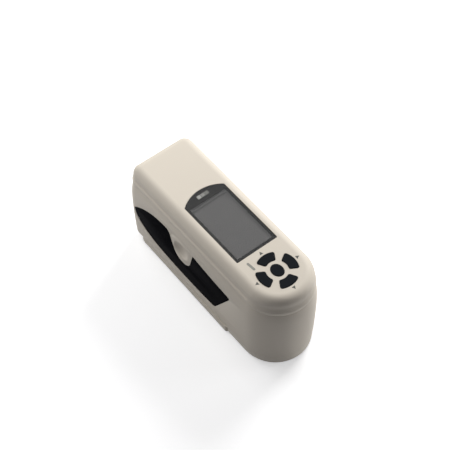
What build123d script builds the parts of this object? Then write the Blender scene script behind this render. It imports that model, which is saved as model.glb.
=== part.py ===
"""Portable spot colorimeter: a beige handle with black grips, a round measuring tower with an integrating
sphere, a display, a five-key pad, a thumb key on the left side and a pull-off calibration cap.

Frame: X is the width, -Y the round front end above the measuring aperture, +Y the square back end, +Z up.
The origin is the centre of the footprint on the bench. All lengths are in millimetres.
"""

from build123d import *

import os
from math import copysign, cos, radians, sin

# ---------------------------------------------------------------- driving dimensions

LENGTH = 205
WIDTH = 70
HEIGHT = 100

HALF_WIDTH = WIDTH / 2
BACK_Y = LENGTH / 2
TOWER_Y = HALF_WIDTH - LENGTH / 2  # axis of the round front end
CORNER_RADIUS = 12  # back corners in plan, at the widest height

HAIRLINE = 0.05  # gap between faces that only just clear each other
SLIP = 0.15  # clearance between parts that only sit together
CUT = 5  # deeper than any wall, for cuts that go right through

# shells
HOUSING_WALL = 3
COVER_WALL = 2.5
WAIST_Z = 55  # height where the housing is widest
TOWER_FOOT_Z = 3.5  # bottom edge of the tower
PARTING_Z = 79.6  # top edge of the housing
COVER_EDGE_Z = 80.3  # bottom edge of the top cover
KEY_RISE = 0.6
COVER_TOP_Z = HEIGHT - KEY_RISE
CEILING_Z = COVER_TOP_Z - COVER_WALL
FOOT_HALF_WIDTH = HALF_WIDTH - 1.7
SHOULDER = (HALF_WIDTH - 0.34, 68)  # where the housing's side starts to turn in
SHOULDER_HALF_WIDTH = 32.6  # housing at the parting line
SKIRT_HALF_WIDTH = 32
TOP_FILLET = 8.5
TOP_FLAT_HALF_WIDTH = SKIRT_HALF_WIDTH - TOP_FILLET
LIP_HALF_WIDTH = 33.2  # flare at the bottom of the cover's skirt
LIP_TOP_Z = 84.8
LIP_SLOPE = 1.5  # height of the slope from the lip up to the skirt
TONGUE_HEIGHT = 2.6  # the housing's tongue inside the cover's rebate
TONGUE_THICKNESS = 1.4

# base plate and battery bay
BASE_FRONT_Y = -42.3
BASE_BACK_Y = 91
BASE_FRONT_HALF_WIDTH = 34.7
BASE_BACK_HALF_WIDTH = 33.5
BASE_BOTTOM_Z = 1.5  # underside of the base plate and measuring plane of the nose
BASE_TOP_Z = 9
BASE_FLOOR = 2.5
BASE_FLOOR_Z = BASE_BOTTOM_Z + BASE_FLOOR
BASE_WALL = 3.5
BASE_SHELF = 1.8  # closes the underside behind the plate, below the housing's edge
BASE_SHELF_HALF_WIDTH = 31.6
HANDLE_FOOT_Z = BASE_TOP_Z + SLIP  # bottom edge of the handle
DOOR_HALF_WIDTH = 21.5
DOOR_FRONT_Y = 4
DOOR_THICKNESS = 1.7
DOOR_TONGUE = (1.4, 0.7)  # how far the guide tongue stands out, and its thickness
DOOR_GROOVE = (22, 1, 0.8)
DOOR_GROOVE_PITCH = 2.4
BAY_HALF_WIDTH = 21
BAY_BACK_Y = 84.5
BAY_TOP_Z = 26
BAY_WALL = 1.6
BAY_LEDGE = (0.4, 2)  # stands in under the battery at each side, and at each end
BATTERY_HEIGHT = 20
FOOT_RADIUS = 5
FOOT_POSITION = (28, 82)
FOOT_SOCKET = 1.2
CONTACT_X = (-6, 0, 6)
CONTACT_WIDTH = 2.4
CONTACT_STRIP = 0.5
CONTACT_TAIL_Z = 16
LEAD_RADIUS = 0.65

# display
WINDOW_HALF_WIDTH = 21.75
WINDOW_FRONT_Y = -41.2
WINDOW_BACK_Y = 31.5
WINDOW_APEX_Y = 39.5
WINDOW_THICKNESS = 1.1
MASK_THICKNESS = 0.25
WINDOW_TOP_Z = COVER_TOP_Z - 0.1
WINDOW_SEAT_Z = WINDOW_TOP_Z - WINDOW_THICKNESS - MASK_THICKNESS
VIEW_HALF_WIDTH = 19
VIEW_FRONT_Y = -38
VIEW_BACK_Y = 27.3
LCD_FRAME_HALF_WIDTH = 22.8
LCD_FRAME_Y = (-41.2, 32.8)
LCD_FRAME_Z = 93.3
LCD_WALL = 1
RIBBON = 0.3

# boards
BOARD = 1.6  # thickness of the circuit boards
MAIN_BOARD_Z = 85
MAIN_BOARD_HALF_WIDTH = 28.4
MAIN_BOARD_Y = (-36, 62)
RIBBON_SOCKET = 1.25
RIBBON_Z = MAIN_BOARD_Z + BOARD + RIBBON_SOCKET + RIBBON / 2  # ribbons where they lie on their sockets
BUZZER_AT = (-16, 48)

# keypad
KEY_INNER_RADIUS = 10
KEY_OUTER_RADIUS = 18.7
KEY_RADIUS = (KEY_INNER_RADIUS + KEY_OUTER_RADIUS) / 2
KEY_HALF_ANGLE = 31
KEY_CORNER = 1.7
KEY_EDGE = 0.45
CENTRE_KEY = (5.4, 6.6)  # half axes across and along the handle
KEY_CLEARANCE = 0.25
KEY_FLANGE = 0.8
KEY_FLANGE_Z = CEILING_Z - 0.2 - KEY_FLANGE
KEY_TRAVEL = 0.6
KEY_STEM_RADIUS = 1.7
KEY_BOARD_Z = 90.9
KEY_BOARD_TOP_Z = KEY_BOARD_Z + BOARD
KEY_BOARD_RADIUS = 26.4
KEY_BOARD_TAIL = (44, 22.8)  # square end towards the main board
SWITCH_SIZE = 6
SWITCH_BODY = 1.2
SWITCH_PLUNGER = 0.3
KEY_STEM_Z = KEY_BOARD_TOP_Z + SWITCH_BODY + SWITCH_PLUNGER + KEY_TRAVEL + HAIRLINE
MAT_RADIUS = 20.8
MAT_Z = 94.2  # underside of the key mat's sheet
MAT_THICKNESS = 0.6
LIGHT_PIPE_AT = (-14.9, -51)
LIGHT_PIPE_TURN = 95
LIGHT_PIPE_SIZE = (9.6, 2.2)

# left side: grip inlay and measure key
INLAY_DEPTH = 1.6
THUMB_BAY = ((39.3, 69.2), (31.4, 49.8), (20, 42.4), (9.2, 50), (4.8, 68.2))  # Y and Z, back to front
BAY_BACK_ROUNDING = 6
BAY_FRONT_ROUNDING = 2
INLAY_RECESS = 0.3
BAY_RIM = 1.6  # housing left between the thumb piece and the grip
MEASURE_KEY_Y = 22
MEASURE_KEY_Z = 57
MEASURE_TRAVEL = 1.2
MEASURE_FLANGE_X = -30.1  # inner face of the thumb piece
THUMB_FLANGE = 1
THUMB_STEM = 0.9
DISH_RADIUS = 15
DISH_DEPTH = 3.6
DISH_AT = (22, 58.5)  # Y and Z of its middle
MEASURE_SWITCH_BODY = 2.8
MEASURE_PLUNGER = 0.6
MEASURE_BOARD_X = (
    MEASURE_FLANGE_X + THUMB_STEM + MEASURE_TRAVEL + 2 * HAIRLINE + MEASURE_PLUNGER + MEASURE_SWITCH_BODY
)
SPRING_RADIUS = 4.9
SPRING_WIRE = 0.3  # radius of the wire
SPRING_TURNS = 3.5

# measuring tower
SPHERE_RADIUS = 19  # inside of the integrating sphere
SPHERE_OUTER = 20.5
SPHERE_Z = 30.5
SPHERE_FLANGE_RADIUS = 25.5
SPHERE_FLANGE = 1.6
SAMPLE_PORT_RADIUS = 7
PILLAR_CIRCLE = 23  # radius of the circle of pillars under the sphere's flange
PILLAR_RADIUS = 2.4
PILLAR_PILOT_Z = 16  # foot of the screw holes in the pillars
APERTURE_RADIUS = 4
NOSE_RADIUS = 15
NOSE_FLANGE = 3
NOSE_TOP_Z = 9.4
GLASS_RADIUS = 9
GLASS_THICKNESS = 1
FLOOR_TOP_Z = 8
FLOOR_RADIUS = 30.1
FLOOR_BACK_Y = BASE_FRONT_Y - 0.6
SENSOR_ANGLE = -8  # both rays are tilted from the vertical, towards +Y when positive
LAMP_ANGLE = 48
SENSOR_TUBE = (4, 5)  # inner and outer radius
LAMP_TUBE = (5.8, 7)
TUBE_SEAT = SPHERE_RADIUS + 2  # these distances run from the sphere's centre
SENSOR_COLLAR_END = 25
LAMP_COLLAR_END = 26
LENS_DISTANCE = 29
LAMP_BOARD_DISTANCE = 33
SENSOR_BOARD_DISTANCE = 40
CAP_RADIUS = 24.5
CAP_TOP_Z = 3.3
CAP_FLOOR_Z = 2
CAP_RIM = 2
TILE_RADIUS = 12
TILE_Z = 0.6
TILE_THICKNESS = 0.8

# back end
PANEL_HALF_WIDTH = 16
PANEL_BOTTOM_Z = 26
PANEL_TOP_Z = 60
PANEL_MIDDLE_Z = (PANEL_BOTTOM_Z + PANEL_TOP_Z) / 2
PANEL_HEIGHT = PANEL_TOP_Z - PANEL_BOTTOM_Z
PANEL_FACE_Y = BACK_Y - 1.2
PANEL_THICKNESS = 2.6
PANEL_FLANGE = 1.2
PANEL_BACK_Y = PANEL_FACE_Y - PANEL_THICKNESS - PANEL_FLANGE
PORT_BOARD_Y = 86.4
DC_Z = 32
DC_BODY = 9
DC_BORE_RADIUS = 2.8
DC_PIN_RADIUS = 0.65
USB_Z = 41.5
USB_SHELL = (7.8, 4)
USB_MOUTH = (7, 3.2)
SWITCH_Z = 52
SWITCH_TRAVEL = 3
SLIDER_WIDTH = 5
SLIDER_FLANGE = 0.8
SLIDER_FLANGE_Y = PANEL_BACK_Y - 0.2
SWITCH_BODY_DEPTH = 8.4
SWITCH_SLOT_DEPTH = 2.4
SLIDER_PIN_DEPTH = 2  # how far the slider's pin reaches into that slot

# screws
SCREW_RADIUS = 1.2
PILOT_RADIUS = 1.25
PILOT_DEPTH = 8
PASSAGE_RADIUS = 1.6
HEAD_RADIUS = 2.3
HEAD_HEIGHT = 1.5
POST_RADIUS = 2.5
COVER_POST_RADIUS = 3
COVER_POST_Z = 76.2
COVER_LUG_Z = 73
COVER_LUG = (8.6, 9)
BOSS_RIB = (6, 4)
KEY_POST_CIRCLE = 23.6
BOSS_HEIGHT = 12
BASE_HEAD_RADIUS = 2.8
BASE_HEAD_Z = BASE_BOTTOM_Z + 3.5  # floor of the counterbores in the base plate
COVER_POSTS = [(x, y) for x in (-26.3, 26.3) for y in (-41, 84)]
BOARD_POSTS = [(x, y) for x in (-25.8, 25.8) for y in (-30, 56)]
KEY_POSTS = [
    (KEY_POST_CIRCLE * cos(radians(a)), TOWER_Y + KEY_POST_CIRCLE * sin(radians(a))) for a in (200, 270, 340)
]
MEASURE_POSTS = [(MEASURE_KEY_Y + step, MEASURE_KEY_Z) for step in (-24, 24)]  # Y and Z
BASE_SCREWS = [(x, y) for x in (-28.6, 28.6) for y in (-28, 66)]
FLOOR_SCREWS = [(x, y) for x in (-25.5, 25.5) for y in (-50, TOWER_Y - 3)]
PILLARS = [
    (PILLAR_CIRCLE * cos(radians(a)), TOWER_Y + PILLAR_CIRCLE * sin(radians(a))) for a in (45, 135, 225, 315)
]

# ---------------------------------------------------------------- shared outlines


def plan_wire(half_width):
    """Plan outline of the body, starting in the middle of its right side."""
    back = BACK_Y - HALF_WIDTH + half_width
    corner = CORNER_RADIUS - HALF_WIDTH + half_width
    with BuildLine() as outline:
        right = Line((half_width, 0), (half_width, back - corner))
        right_corner = TangentArc(right @ 1, (half_width - corner, back), tangent=right % 1)
        rear = Line(right_corner @ 1, (corner - half_width, back))
        left_corner = TangentArc(rear @ 1, (-half_width, back - corner), tangent=rear % 1)
        left = Line(left_corner @ 1, (-half_width, TOWER_Y))
        front = ThreePointArc(left @ 1, (0, TOWER_Y - half_width), (half_width, TOWER_Y))
        Line(front @ 1, right @ 0)
    return outline.line


def side_curve(inset, low):
    """The housing's side in section, from z = low up to the parting line, moved inwards by inset."""
    belly_sag = (HALF_WIDTH - FOOT_HALF_WIDTH) / (WAIST_Z - TOWER_FOOT_Z) ** 2
    foot = (HALF_WIDTH - inset - belly_sag * (WAIST_Z - low) ** 2, low)
    waist = (HALF_WIDTH - inset, WAIST_Z)
    shoulder = (SHOULDER[0] - inset, SHOULDER[1])
    with BuildLine() as side:
        TangentArc(waist, foot, tangent=(0, -1))
        chest = TangentArc(waist, shoulder, tangent=(0, 1))
        TangentArc(chest @ 1, (SHOULDER_HALF_WIDTH - inset, PARTING_Z), tangent=chest % 1)
    return side.line


def side_band(outer_inset, inner_inset, low=TOWER_FOOT_Z):
    """Section face between two insets of the housing's side, from z = low up to the parting line."""
    with BuildSketch() as band:
        with BuildLine():
            outer = add(side_curve(outer_inset, low))
            inner = add(side_curve(inner_inset, low))
            Line(outer.edges().sort_by(Axis.Y)[0] @ 1, inner.edges().sort_by(Axis.Y)[0] @ 1)
            Line(outer.edges().sort_by(Axis.Y)[-1] @ 1, inner.edges().sort_by(Axis.Y)[-1] @ 1)
        make_face()
    return band.sketch_local


def grip_outline(grow=0.0):
    """Side view (Y, Z) of the grip inlay: a leaf with a round bay for the thumb in its upper edge."""
    with BuildSketch() as leaf:
        with BuildLine():
            back = ThreePointArc((92, 49.3), (73, 63), THUMB_BAY[0])
            Line(back @ 1, THUMB_BAY[1])
            ThreePointArc(*THUMB_BAY[1:4])
            bay_front = Line(*THUMB_BAY[3:])
            front = ThreePointArc(bay_front @ 1, (-20, 65), (-47.5, 63))
            end = Line(front @ 1, (-24.3, 22.6))
            bottom = ThreePointArc(end @ 1, (16, 20.6), (56, 23.3))
            rise = TangentArc(bottom @ 1, (80, 31.4), tangent=bottom % 1)
            TangentArc(rise @ 1, back @ 0, tangent=rise % 1)
        make_face()
        fillet(leaf.vertices().filter_by(lambda v: v.Y < 25 and v.X < 0), 6)
        fillet(leaf.vertices().sort_by_distance(THUMB_BAY[0])[0], BAY_BACK_ROUNDING)
        fillet(leaf.vertices().sort_by_distance(THUMB_BAY[4])[0], BAY_FRONT_ROUNDING)
        fillet(leaf.vertices().sort_by(Axis.X)[0], 2)
        if grow:
            offset(amount=grow, kind=Kind.ARC)
    return leaf.sketch_local


def grip_layer(outer_inset, inner_inset, grow=0.0):
    """Layer of the left side between two depths below its surface, cut to the grip's outline."""
    with BuildPart() as layer:
        with BuildSketch(Plane.XZ.offset(-BACK_Y)):
            add(side_band(outer_inset, inner_inset))
            mirror(about=Plane.YZ, mode=Mode.REPLACE)
        extrude(amount=LENGTH)
        with BuildSketch(Plane.YZ.offset(-HALF_WIDTH - 3)):
            add(grip_outline(grow))
        extrude(amount=10, mode=Mode.INTERSECT)
    return layer.part


def thumb_outline(grow=0.0):
    """Side view (Y, Z) of the thumb piece that sits in the grip's bay."""
    with BuildSketch() as bay:
        with BuildLine():
            Line(*THUMB_BAY[:2])
            ThreePointArc(*THUMB_BAY[1:4])
            Line(*THUMB_BAY[3:])
            ThreePointArc(THUMB_BAY[4], (21, 73.5), THUMB_BAY[0])
        make_face()
        fillet(bay.vertices().sort_by(Axis.Y)[-2:], 6)
        offset(amount=grow - BAY_RIM, kind=Kind.ARC)
    return bay.sketch_local


def thumb_piece():
    """Dished thumb piece of the left side: its outside follows the housing, its flange stays inside."""
    with BuildPart() as piece:
        with BuildSketch(Plane.XZ.offset(-BACK_Y)):
            add(side_band(0, 6))
            mirror(about=Plane.YZ, mode=Mode.REPLACE)
        extrude(amount=LENGTH)
        with BuildSketch(Plane.YZ.offset(MEASURE_FLANGE_X)):
            add(thumb_outline())
        extrude(amount=-2 * CUT, mode=Mode.INTERSECT)
        with Locations((DISH_DEPTH - HALF_WIDTH - DISH_RADIUS, *DISH_AT)):
            Sphere(DISH_RADIUS, mode=Mode.SUBTRACT)
        with BuildSketch(Plane.YZ.offset(MEASURE_FLANGE_X)):
            add(thumb_outline(KEY_FLANGE))
        extrude(amount=-THUMB_FLANGE)
    return piece.part


def window_outline(grow=0.0):
    """Plan of the display window: straight at the keypad end and arched at the other."""
    with BuildSketch() as window:
        with BuildLine():
            sides = Polyline(
                (WINDOW_HALF_WIDTH, WINDOW_BACK_Y),
                (WINDOW_HALF_WIDTH, WINDOW_FRONT_Y),
                (-WINDOW_HALF_WIDTH, WINDOW_FRONT_Y),
                (-WINDOW_HALF_WIDTH, WINDOW_BACK_Y),
            )
            ThreePointArc(sides @ 1, (0, WINDOW_APEX_Y), sides @ 0)
        make_face()
        fillet(window.vertices(), 1)
        if grow:
            offset(amount=grow, kind=Kind.ARC)
    return window.sketch_local


def view_rectangle(grow=0.0):
    """Plan of the visible display area."""
    with BuildSketch() as view:
        with Locations((0, (VIEW_FRONT_Y + VIEW_BACK_Y) / 2)):
            Rectangle(2 * (VIEW_HALF_WIDTH + grow), VIEW_BACK_Y - VIEW_FRONT_Y + 2 * grow)
    return view.sketch_local


def arrow_key_outline(angle, grow=0.0):
    """Sector of a ring about the tower's axis, pointing at the given angle."""
    with BuildSketch() as sector:
        with BuildLine():
            outer = CenterArc((0, 0), KEY_OUTER_RADIUS, angle - KEY_HALF_ANGLE, 2 * KEY_HALF_ANGLE)
            inner = CenterArc((0, 0), KEY_INNER_RADIUS, angle - KEY_HALF_ANGLE, 2 * KEY_HALF_ANGLE)
            Line(outer @ 0, inner @ 0)
            Line(outer @ 1, inner @ 1)
        make_face()
        fillet(sector.vertices(), KEY_CORNER)
        if grow:
            offset(amount=grow, kind=Kind.ARC)
    return sector.sketch_local.moved(Location((0, TOWER_Y)))


def centre_key_outline(grow=0.0):
    """Oval centre key."""
    with BuildSketch() as oval:
        with Locations((0, TOWER_Y)):
            Ellipse(CENTRE_KEY[0] + grow, CENTRE_KEY[1] + grow)
    return oval.sketch_local


def light_pipe_outline(grow=0.0):
    """Slot shape of the status light, beside the keypad."""
    with BuildSketch() as slot:
        with Locations(Location(LIGHT_PIPE_AT, (0, 0, LIGHT_PIPE_TURN))):
            SlotOverall(LIGHT_PIPE_SIZE[0] + 2 * grow, LIGHT_PIPE_SIZE[1] + 2 * grow)
    return slot.sketch_local


def round_ended_outline(radius, back_y):
    """Plan with a half-round front about the tower's axis and a straight back edge at back_y."""
    with BuildSketch() as plan:
        with BuildLine():
            front = ThreePointArc((-radius, TOWER_Y), (0, TOWER_Y - radius), (radius, TOWER_Y))
            Polyline(front @ 1, (radius, back_y), (-radius, back_y), front @ 0)
        make_face()
    return plan.sketch_local


def base_outline(inset, back_corner, front_corner):
    """Plan of the base plate, moved inwards by inset: a little narrower at the back than at the front."""
    back_y = BASE_BACK_Y - inset
    front_y = BASE_FRONT_Y + inset
    with BuildSketch() as plan:
        with BuildLine():
            Polyline(
                (BASE_BACK_HALF_WIDTH - inset, back_y),
                (inset - BASE_BACK_HALF_WIDTH, back_y),
                (inset - BASE_FRONT_HALF_WIDTH, front_y),
                (BASE_FRONT_HALF_WIDTH - inset, front_y),
                close=True,
            )
        make_face()
        fillet(plan.vertices().sort_by(Axis.Y)[-2:], back_corner)
        fillet(plan.vertices().sort_by(Axis.Y)[:2], front_corner)
    return plan.sketch_local


def tilted_plane(angle, distance):
    """Plane square to a ray from the sphere's centre, tilted from the vertical towards +Y."""
    tilt = radians(angle)
    ray = (0, sin(tilt), cos(tilt))
    origin = (0, TOWER_Y + distance * ray[1], SPHERE_Z + distance * ray[2])
    return Plane(origin=origin, x_dir=(1, 0, 0), z_dir=ray)


def door_section(grow=0.0):
    """Cross-section (X, Z) of the battery door: a flat plate with a guide tongue on each side."""
    with BuildSketch() as section:
        with Locations((0, BASE_BOTTOM_Z)):
            Rectangle(
                2 * (DOOR_HALF_WIDTH + grow), DOOR_THICKNESS + grow, align=(Align.CENTER, Align.MIN)
            )
        with Locations((0, BASE_BOTTOM_Z + DOOR_THICKNESS / 2 + 0.2)):
            Rectangle(2 * (DOOR_HALF_WIDTH + DOOR_TONGUE[0] + grow), DOOR_TONGUE[1] + 2 * grow)
    return section.sketch_local


TOWER_AXIS = Axis((0, TOWER_Y, 0), (0, 0, 1))
TOWER_SECTION = Plane.XZ.offset(-TOWER_Y)
ARROW_KEYS = {"key_up": 90, "key_left": 180, "key_down": 270, "key_right": 0}
ARROW_KEY_CENTRES = {
    a: (KEY_RADIUS * cos(radians(a)), TOWER_Y + KEY_RADIUS * sin(radians(a))) for a in ARROW_KEYS.values()
}
KEY_CENTRES = [(0, TOWER_Y), *ARROW_KEY_CENTRES.values()]

# ---------------------------------------------------------------- outer shells

with BuildPart() as top_cover:
    with BuildSketch(Plane.XZ):
        with BuildLine():
            tongue_side = SHOULDER_HALF_WIDTH - HOUSING_WALL + TONGUE_THICKNESS + SLIP
            rebate_top = PARTING_Z + TONGUE_HEIGHT + 2 * SLIP
            inner = SKIRT_HALF_WIDTH - COVER_WALL
            fillet_z = COVER_TOP_Z - TOP_FILLET
            outside = Polyline(
                (tongue_side, COVER_EDGE_Z),
                (LIP_HALF_WIDTH, COVER_EDGE_Z),
                (LIP_HALF_WIDTH, LIP_TOP_Z),
                (SKIRT_HALF_WIDTH, LIP_TOP_Z + LIP_SLOPE),
                (SKIRT_HALF_WIDTH, fillet_z),
            )
            RadiusArc(outside @ 1, (TOP_FLAT_HALF_WIDTH, COVER_TOP_Z), -TOP_FILLET)
            Line((TOP_FLAT_HALF_WIDTH, COVER_TOP_Z), (TOP_FLAT_HALF_WIDTH, CEILING_Z))
            RadiusArc((TOP_FLAT_HALF_WIDTH, CEILING_Z), (inner, fillet_z), TOP_FILLET - COVER_WALL)
            Polyline((inner, fillet_z), (inner, rebate_top), (tongue_side, rebate_top), outside @ 0)
        make_face()
    sweep(path=plan_wire(HALF_WIDTH))
    with BuildSketch(Plane.XY.offset(COVER_TOP_Z)):
        make_face(plan_wire(TOP_FLAT_HALF_WIDTH).edges())
    extrude(amount=-COVER_WALL)
    for posts, radius, low in (
        (COVER_POSTS, COVER_POST_RADIUS, COVER_POST_Z),
        (BOARD_POSTS, POST_RADIUS, MAIN_BOARD_Z + BOARD),
        (KEY_POSTS, POST_RADIUS, KEY_BOARD_TOP_Z),
    ):
        with BuildSketch(Plane.XY.offset(low)):
            with Locations(posts):
                Circle(radius)
        extrude(amount=CEILING_Z + SLIP - low)
        with BuildSketch(Plane.XY.offset(low)):
            with Locations(posts):
                Circle(PILOT_RADIUS)
        extrude(amount=min(PILOT_DEPTH, CEILING_Z - low), mode=Mode.SUBTRACT)
    with BuildSketch(Plane.XY.offset(WINDOW_SEAT_Z)):
        add(window_outline(SLIP))
    extrude(amount=CUT, mode=Mode.SUBTRACT)
    with BuildSketch(Plane.XY.offset(CEILING_Z - 1)):
        add(view_rectangle(1))
        add(centre_key_outline(KEY_CLEARANCE))
        for angle in ARROW_KEYS.values():
            add(arrow_key_outline(angle, KEY_CLEARANCE))
        add(light_pipe_outline(HAIRLINE))
    extrude(amount=CUT, mode=Mode.SUBTRACT)

with BuildPart() as main_housing:
    with BuildSketch(Plane.XZ):
        add(side_band(0, HOUSING_WALL))
        tongue = SHOULDER_HALF_WIDTH - HOUSING_WALL
        with Locations((tongue, PARTING_Z)):
            Rectangle(TONGUE_THICKNESS, TONGUE_HEIGHT, align=(Align.MIN, Align.MIN))
    sweep(path=plan_wire(HALF_WIDTH))
    with BuildSketch(Plane.XY):
        with Locations((0, BASE_FRONT_Y - SLIP)):
            Rectangle(WIDTH + CUT, LENGTH, align=(Align.CENTER, Align.MIN))
    extrude(amount=HANDLE_FOOT_Z, mode=Mode.SUBTRACT)
    for screws, low in ((BASE_SCREWS, HANDLE_FOOT_Z), (FLOOR_SCREWS, FLOOR_TOP_Z + SLIP)):
        with BuildSketch(Plane.XY.offset(low)):
            with Locations(screws):
                Circle(COVER_POST_RADIUS)
            with Locations(*[(copysign(FLOOR_RADIUS, x), y) for x, y in screws]):
                Rectangle(*BOSS_RIB)
        extrude(amount=BOSS_HEIGHT)
        with BuildSketch(Plane.XY.offset(low)):
            with Locations(screws):
                Circle(PILOT_RADIUS)
        extrude(amount=BOSS_HEIGHT - 1, mode=Mode.SUBTRACT)
    with BuildSketch(Plane.XY.offset(COVER_LUG_Z)):
        with Locations(*[(copysign(abs(x) + 1, x), y) for x, y in COVER_POSTS]):
            Rectangle(*COVER_LUG)
        with Locations(COVER_POSTS):
            Circle(PASSAGE_RADIUS, mode=Mode.SUBTRACT)
    extrude(amount=COVER_POST_Z - COVER_LUG_Z - HAIRLINE)
    with BuildSketch(Plane.YZ.offset(MEASURE_BOARD_X)):
        with Locations(MEASURE_POSTS):
            Circle(POST_RADIUS)
    extrude(amount=MEASURE_BOARD_X + HALF_WIDTH - HOUSING_WALL + 1, dir=(-1, 0, 0))
    with BuildSketch(Plane.YZ.offset(MEASURE_BOARD_X)):
        with Locations(MEASURE_POSTS):
            Circle(PILOT_RADIUS)
    extrude(amount=CUT, dir=(-1, 0, 0), mode=Mode.SUBTRACT)
    pocket = grip_layer(-1.5, INLAY_DEPTH, SLIP)
    add(pocket, mode=Mode.SUBTRACT)
    add(mirror(pocket, about=Plane.YZ, mode=Mode.PRIVATE), mode=Mode.SUBTRACT)
    with BuildSketch(Plane.YZ.offset(-HALF_WIDTH - 1)):
        add(thumb_outline(SLIP))
    extrude(amount=WIDTH + 2, mode=Mode.SUBTRACT)
    with BuildSketch(Plane.XZ.offset(-BACK_Y - 1)):
        with Locations((0, PANEL_MIDDLE_Z)):
            RectangleRounded(2 * (PANEL_HALF_WIDTH + SLIP), PANEL_HEIGHT + 2 * SLIP, 3)
    extrude(amount=CUT + HOUSING_WALL, mode=Mode.SUBTRACT)

with BuildPart() as base_plate:
    with BuildSketch(Plane.XY.offset(BASE_BOTTOM_Z)):
        add(base_outline(0, 9, 3))
    extrude(amount=BASE_TOP_Z - BASE_BOTTOM_Z)
    fillet(base_plate.faces().sort_by(Axis.Z)[0].edges(), 1.2)
    fillet(base_plate.faces().sort_by(Axis.Z)[-1].edges(), 0.5)
    with BuildSketch(Plane.XY.offset(BASE_FLOOR_Z)):
        add(base_outline(BASE_WALL, 6, 3))
        with Locations(BASE_SCREWS):
            Circle(BASE_HEAD_RADIUS + 1.2, mode=Mode.SUBTRACT)
    extrude(amount=BASE_TOP_Z, mode=Mode.SUBTRACT)
    with BuildSketch(Plane.XY.offset(BASE_TOP_Z - BASE_SHELF)):
        make_face(plan_wire(BASE_SHELF_HALF_WIDTH).edges())
        with Locations((0, BASE_BACK_Y - BASE_WALL)):
            Rectangle(WIDTH, LENGTH, align=(Align.CENTER, Align.MIN), mode=Mode.INTERSECT)
    extrude(amount=BASE_SHELF)
    bay_middle = (DOOR_FRONT_Y + BAY_BACK_Y) / 2
    bay_length = BAY_BACK_Y - DOOR_FRONT_Y
    with BuildSketch(Plane.XY.offset(BASE_FLOOR_Z)):
        with Locations((0, bay_middle)):
            Rectangle(2 * (BAY_HALF_WIDTH + BAY_WALL), bay_length + 2 * BAY_WALL)
            Rectangle(2 * BAY_HALF_WIDTH, bay_length, mode=Mode.SUBTRACT)
    extrude(amount=BAY_TOP_Z - BASE_FLOOR_Z)
    with BuildSketch(Plane.XY.offset(BASE_BOTTOM_Z)):
        with Locations((0, bay_middle)):
            Rectangle(2 * (BAY_HALF_WIDTH - BAY_LEDGE[0]), bay_length - 2 * BAY_LEDGE[1])
    extrude(amount=BASE_FLOOR, mode=Mode.SUBTRACT)
    with BuildSketch(Plane.XZ.offset(-BASE_BACK_Y - 1)):
        add(door_section(SLIP))
    extrude(amount=BASE_BACK_Y + 1 - DOOR_FRONT_Y, mode=Mode.SUBTRACT)
    with BuildSketch(Plane.XY.offset(BASE_BOTTOM_Z)):
        with Locations(*[(side * FOOT_POSITION[0], FOOT_POSITION[1]) for side in (-1, 1)]):
            Circle(FOOT_RADIUS + HAIRLINE)
    extrude(amount=FOOT_SOCKET, mode=Mode.SUBTRACT)
    with Locations(*[Location((x, y, BASE_BOTTOM_Z), (180, 0, 0)) for x, y in BASE_SCREWS]):
        CounterBoreHole(PASSAGE_RADIUS, BASE_HEAD_RADIUS + 0.3, BASE_HEAD_Z - BASE_BOTTOM_Z, depth=10)
    with Locations(*[(x, DOOR_FRONT_Y - BAY_WALL / 2, CONTACT_TAIL_Z) for x in CONTACT_X]):
        Box(CONTACT_WIDTH + 0.2, BAY_WALL + 0.4, 2 * CONTACT_STRIP, mode=Mode.SUBTRACT)

with BuildPart() as battery_door:
    with BuildSketch(Plane.XZ.offset(-BASE_BACK_Y)):
        add(door_section())
    extrude(amount=BASE_BACK_Y - DOOR_FRONT_Y - SLIP)
    groove_rows = [BASE_BACK_Y - 8 - DOOR_GROOVE_PITCH * row for row in range(5)]
    with Locations(*[(0, y, BASE_BOTTOM_Z) for y in groove_rows]):
        Box(*DOOR_GROOVE, mode=Mode.SUBTRACT)

with BuildPart() as rubber_feet:
    with BuildSketch():
        with Locations(*[(side * FOOT_POSITION[0], FOOT_POSITION[1]) for side in (-1, 1)]):
            Circle(FOOT_RADIUS)
    extrude(amount=BASE_BOTTOM_Z + FOOT_SOCKET)
    fillet(rubber_feet.faces().group_by(Axis.Z)[0].edges(), 0.6)

# ---------------------------------------------------------------- side grips and the measure key

with BuildPart() as left_grip_inlay:
    add(grip_layer(INLAY_RECESS, INLAY_DEPTH - 0.1))

with BuildPart() as right_grip_inlay:
    add(mirror(left_grip_inlay.part, about=Plane.YZ, mode=Mode.PRIVATE))

with BuildPart() as measure_key:
    add(thumb_piece())
    with BuildSketch(Plane.YZ.offset(MEASURE_FLANGE_X)):
        with Locations((MEASURE_KEY_Y, MEASURE_KEY_Z)):
            Circle(2)
    extrude(amount=THUMB_STEM)

with BuildPart() as finger_rest:
    add(mirror(thumb_piece(), about=Plane.YZ, mode=Mode.PRIVATE))

with BuildPart() as measure_key_spring:
    coil_start = (MEASURE_FLANGE_X + SPRING_WIRE + HAIRLINE, MEASURE_KEY_Y, MEASURE_KEY_Z)
    coil_length = MEASURE_BOARD_X - MEASURE_FLANGE_X - 2 * (SPRING_WIRE + HAIRLINE)
    coil_pitch = coil_length / SPRING_TURNS
    with BuildLine():
        coil = Helix(coil_pitch, coil_length, SPRING_RADIUS, center=coil_start, direction=(1, 0, 0))
    with BuildSketch(Plane(origin=coil @ 0, z_dir=coil % 0)):
        Circle(SPRING_WIRE)
    sweep(path=coil)

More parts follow.
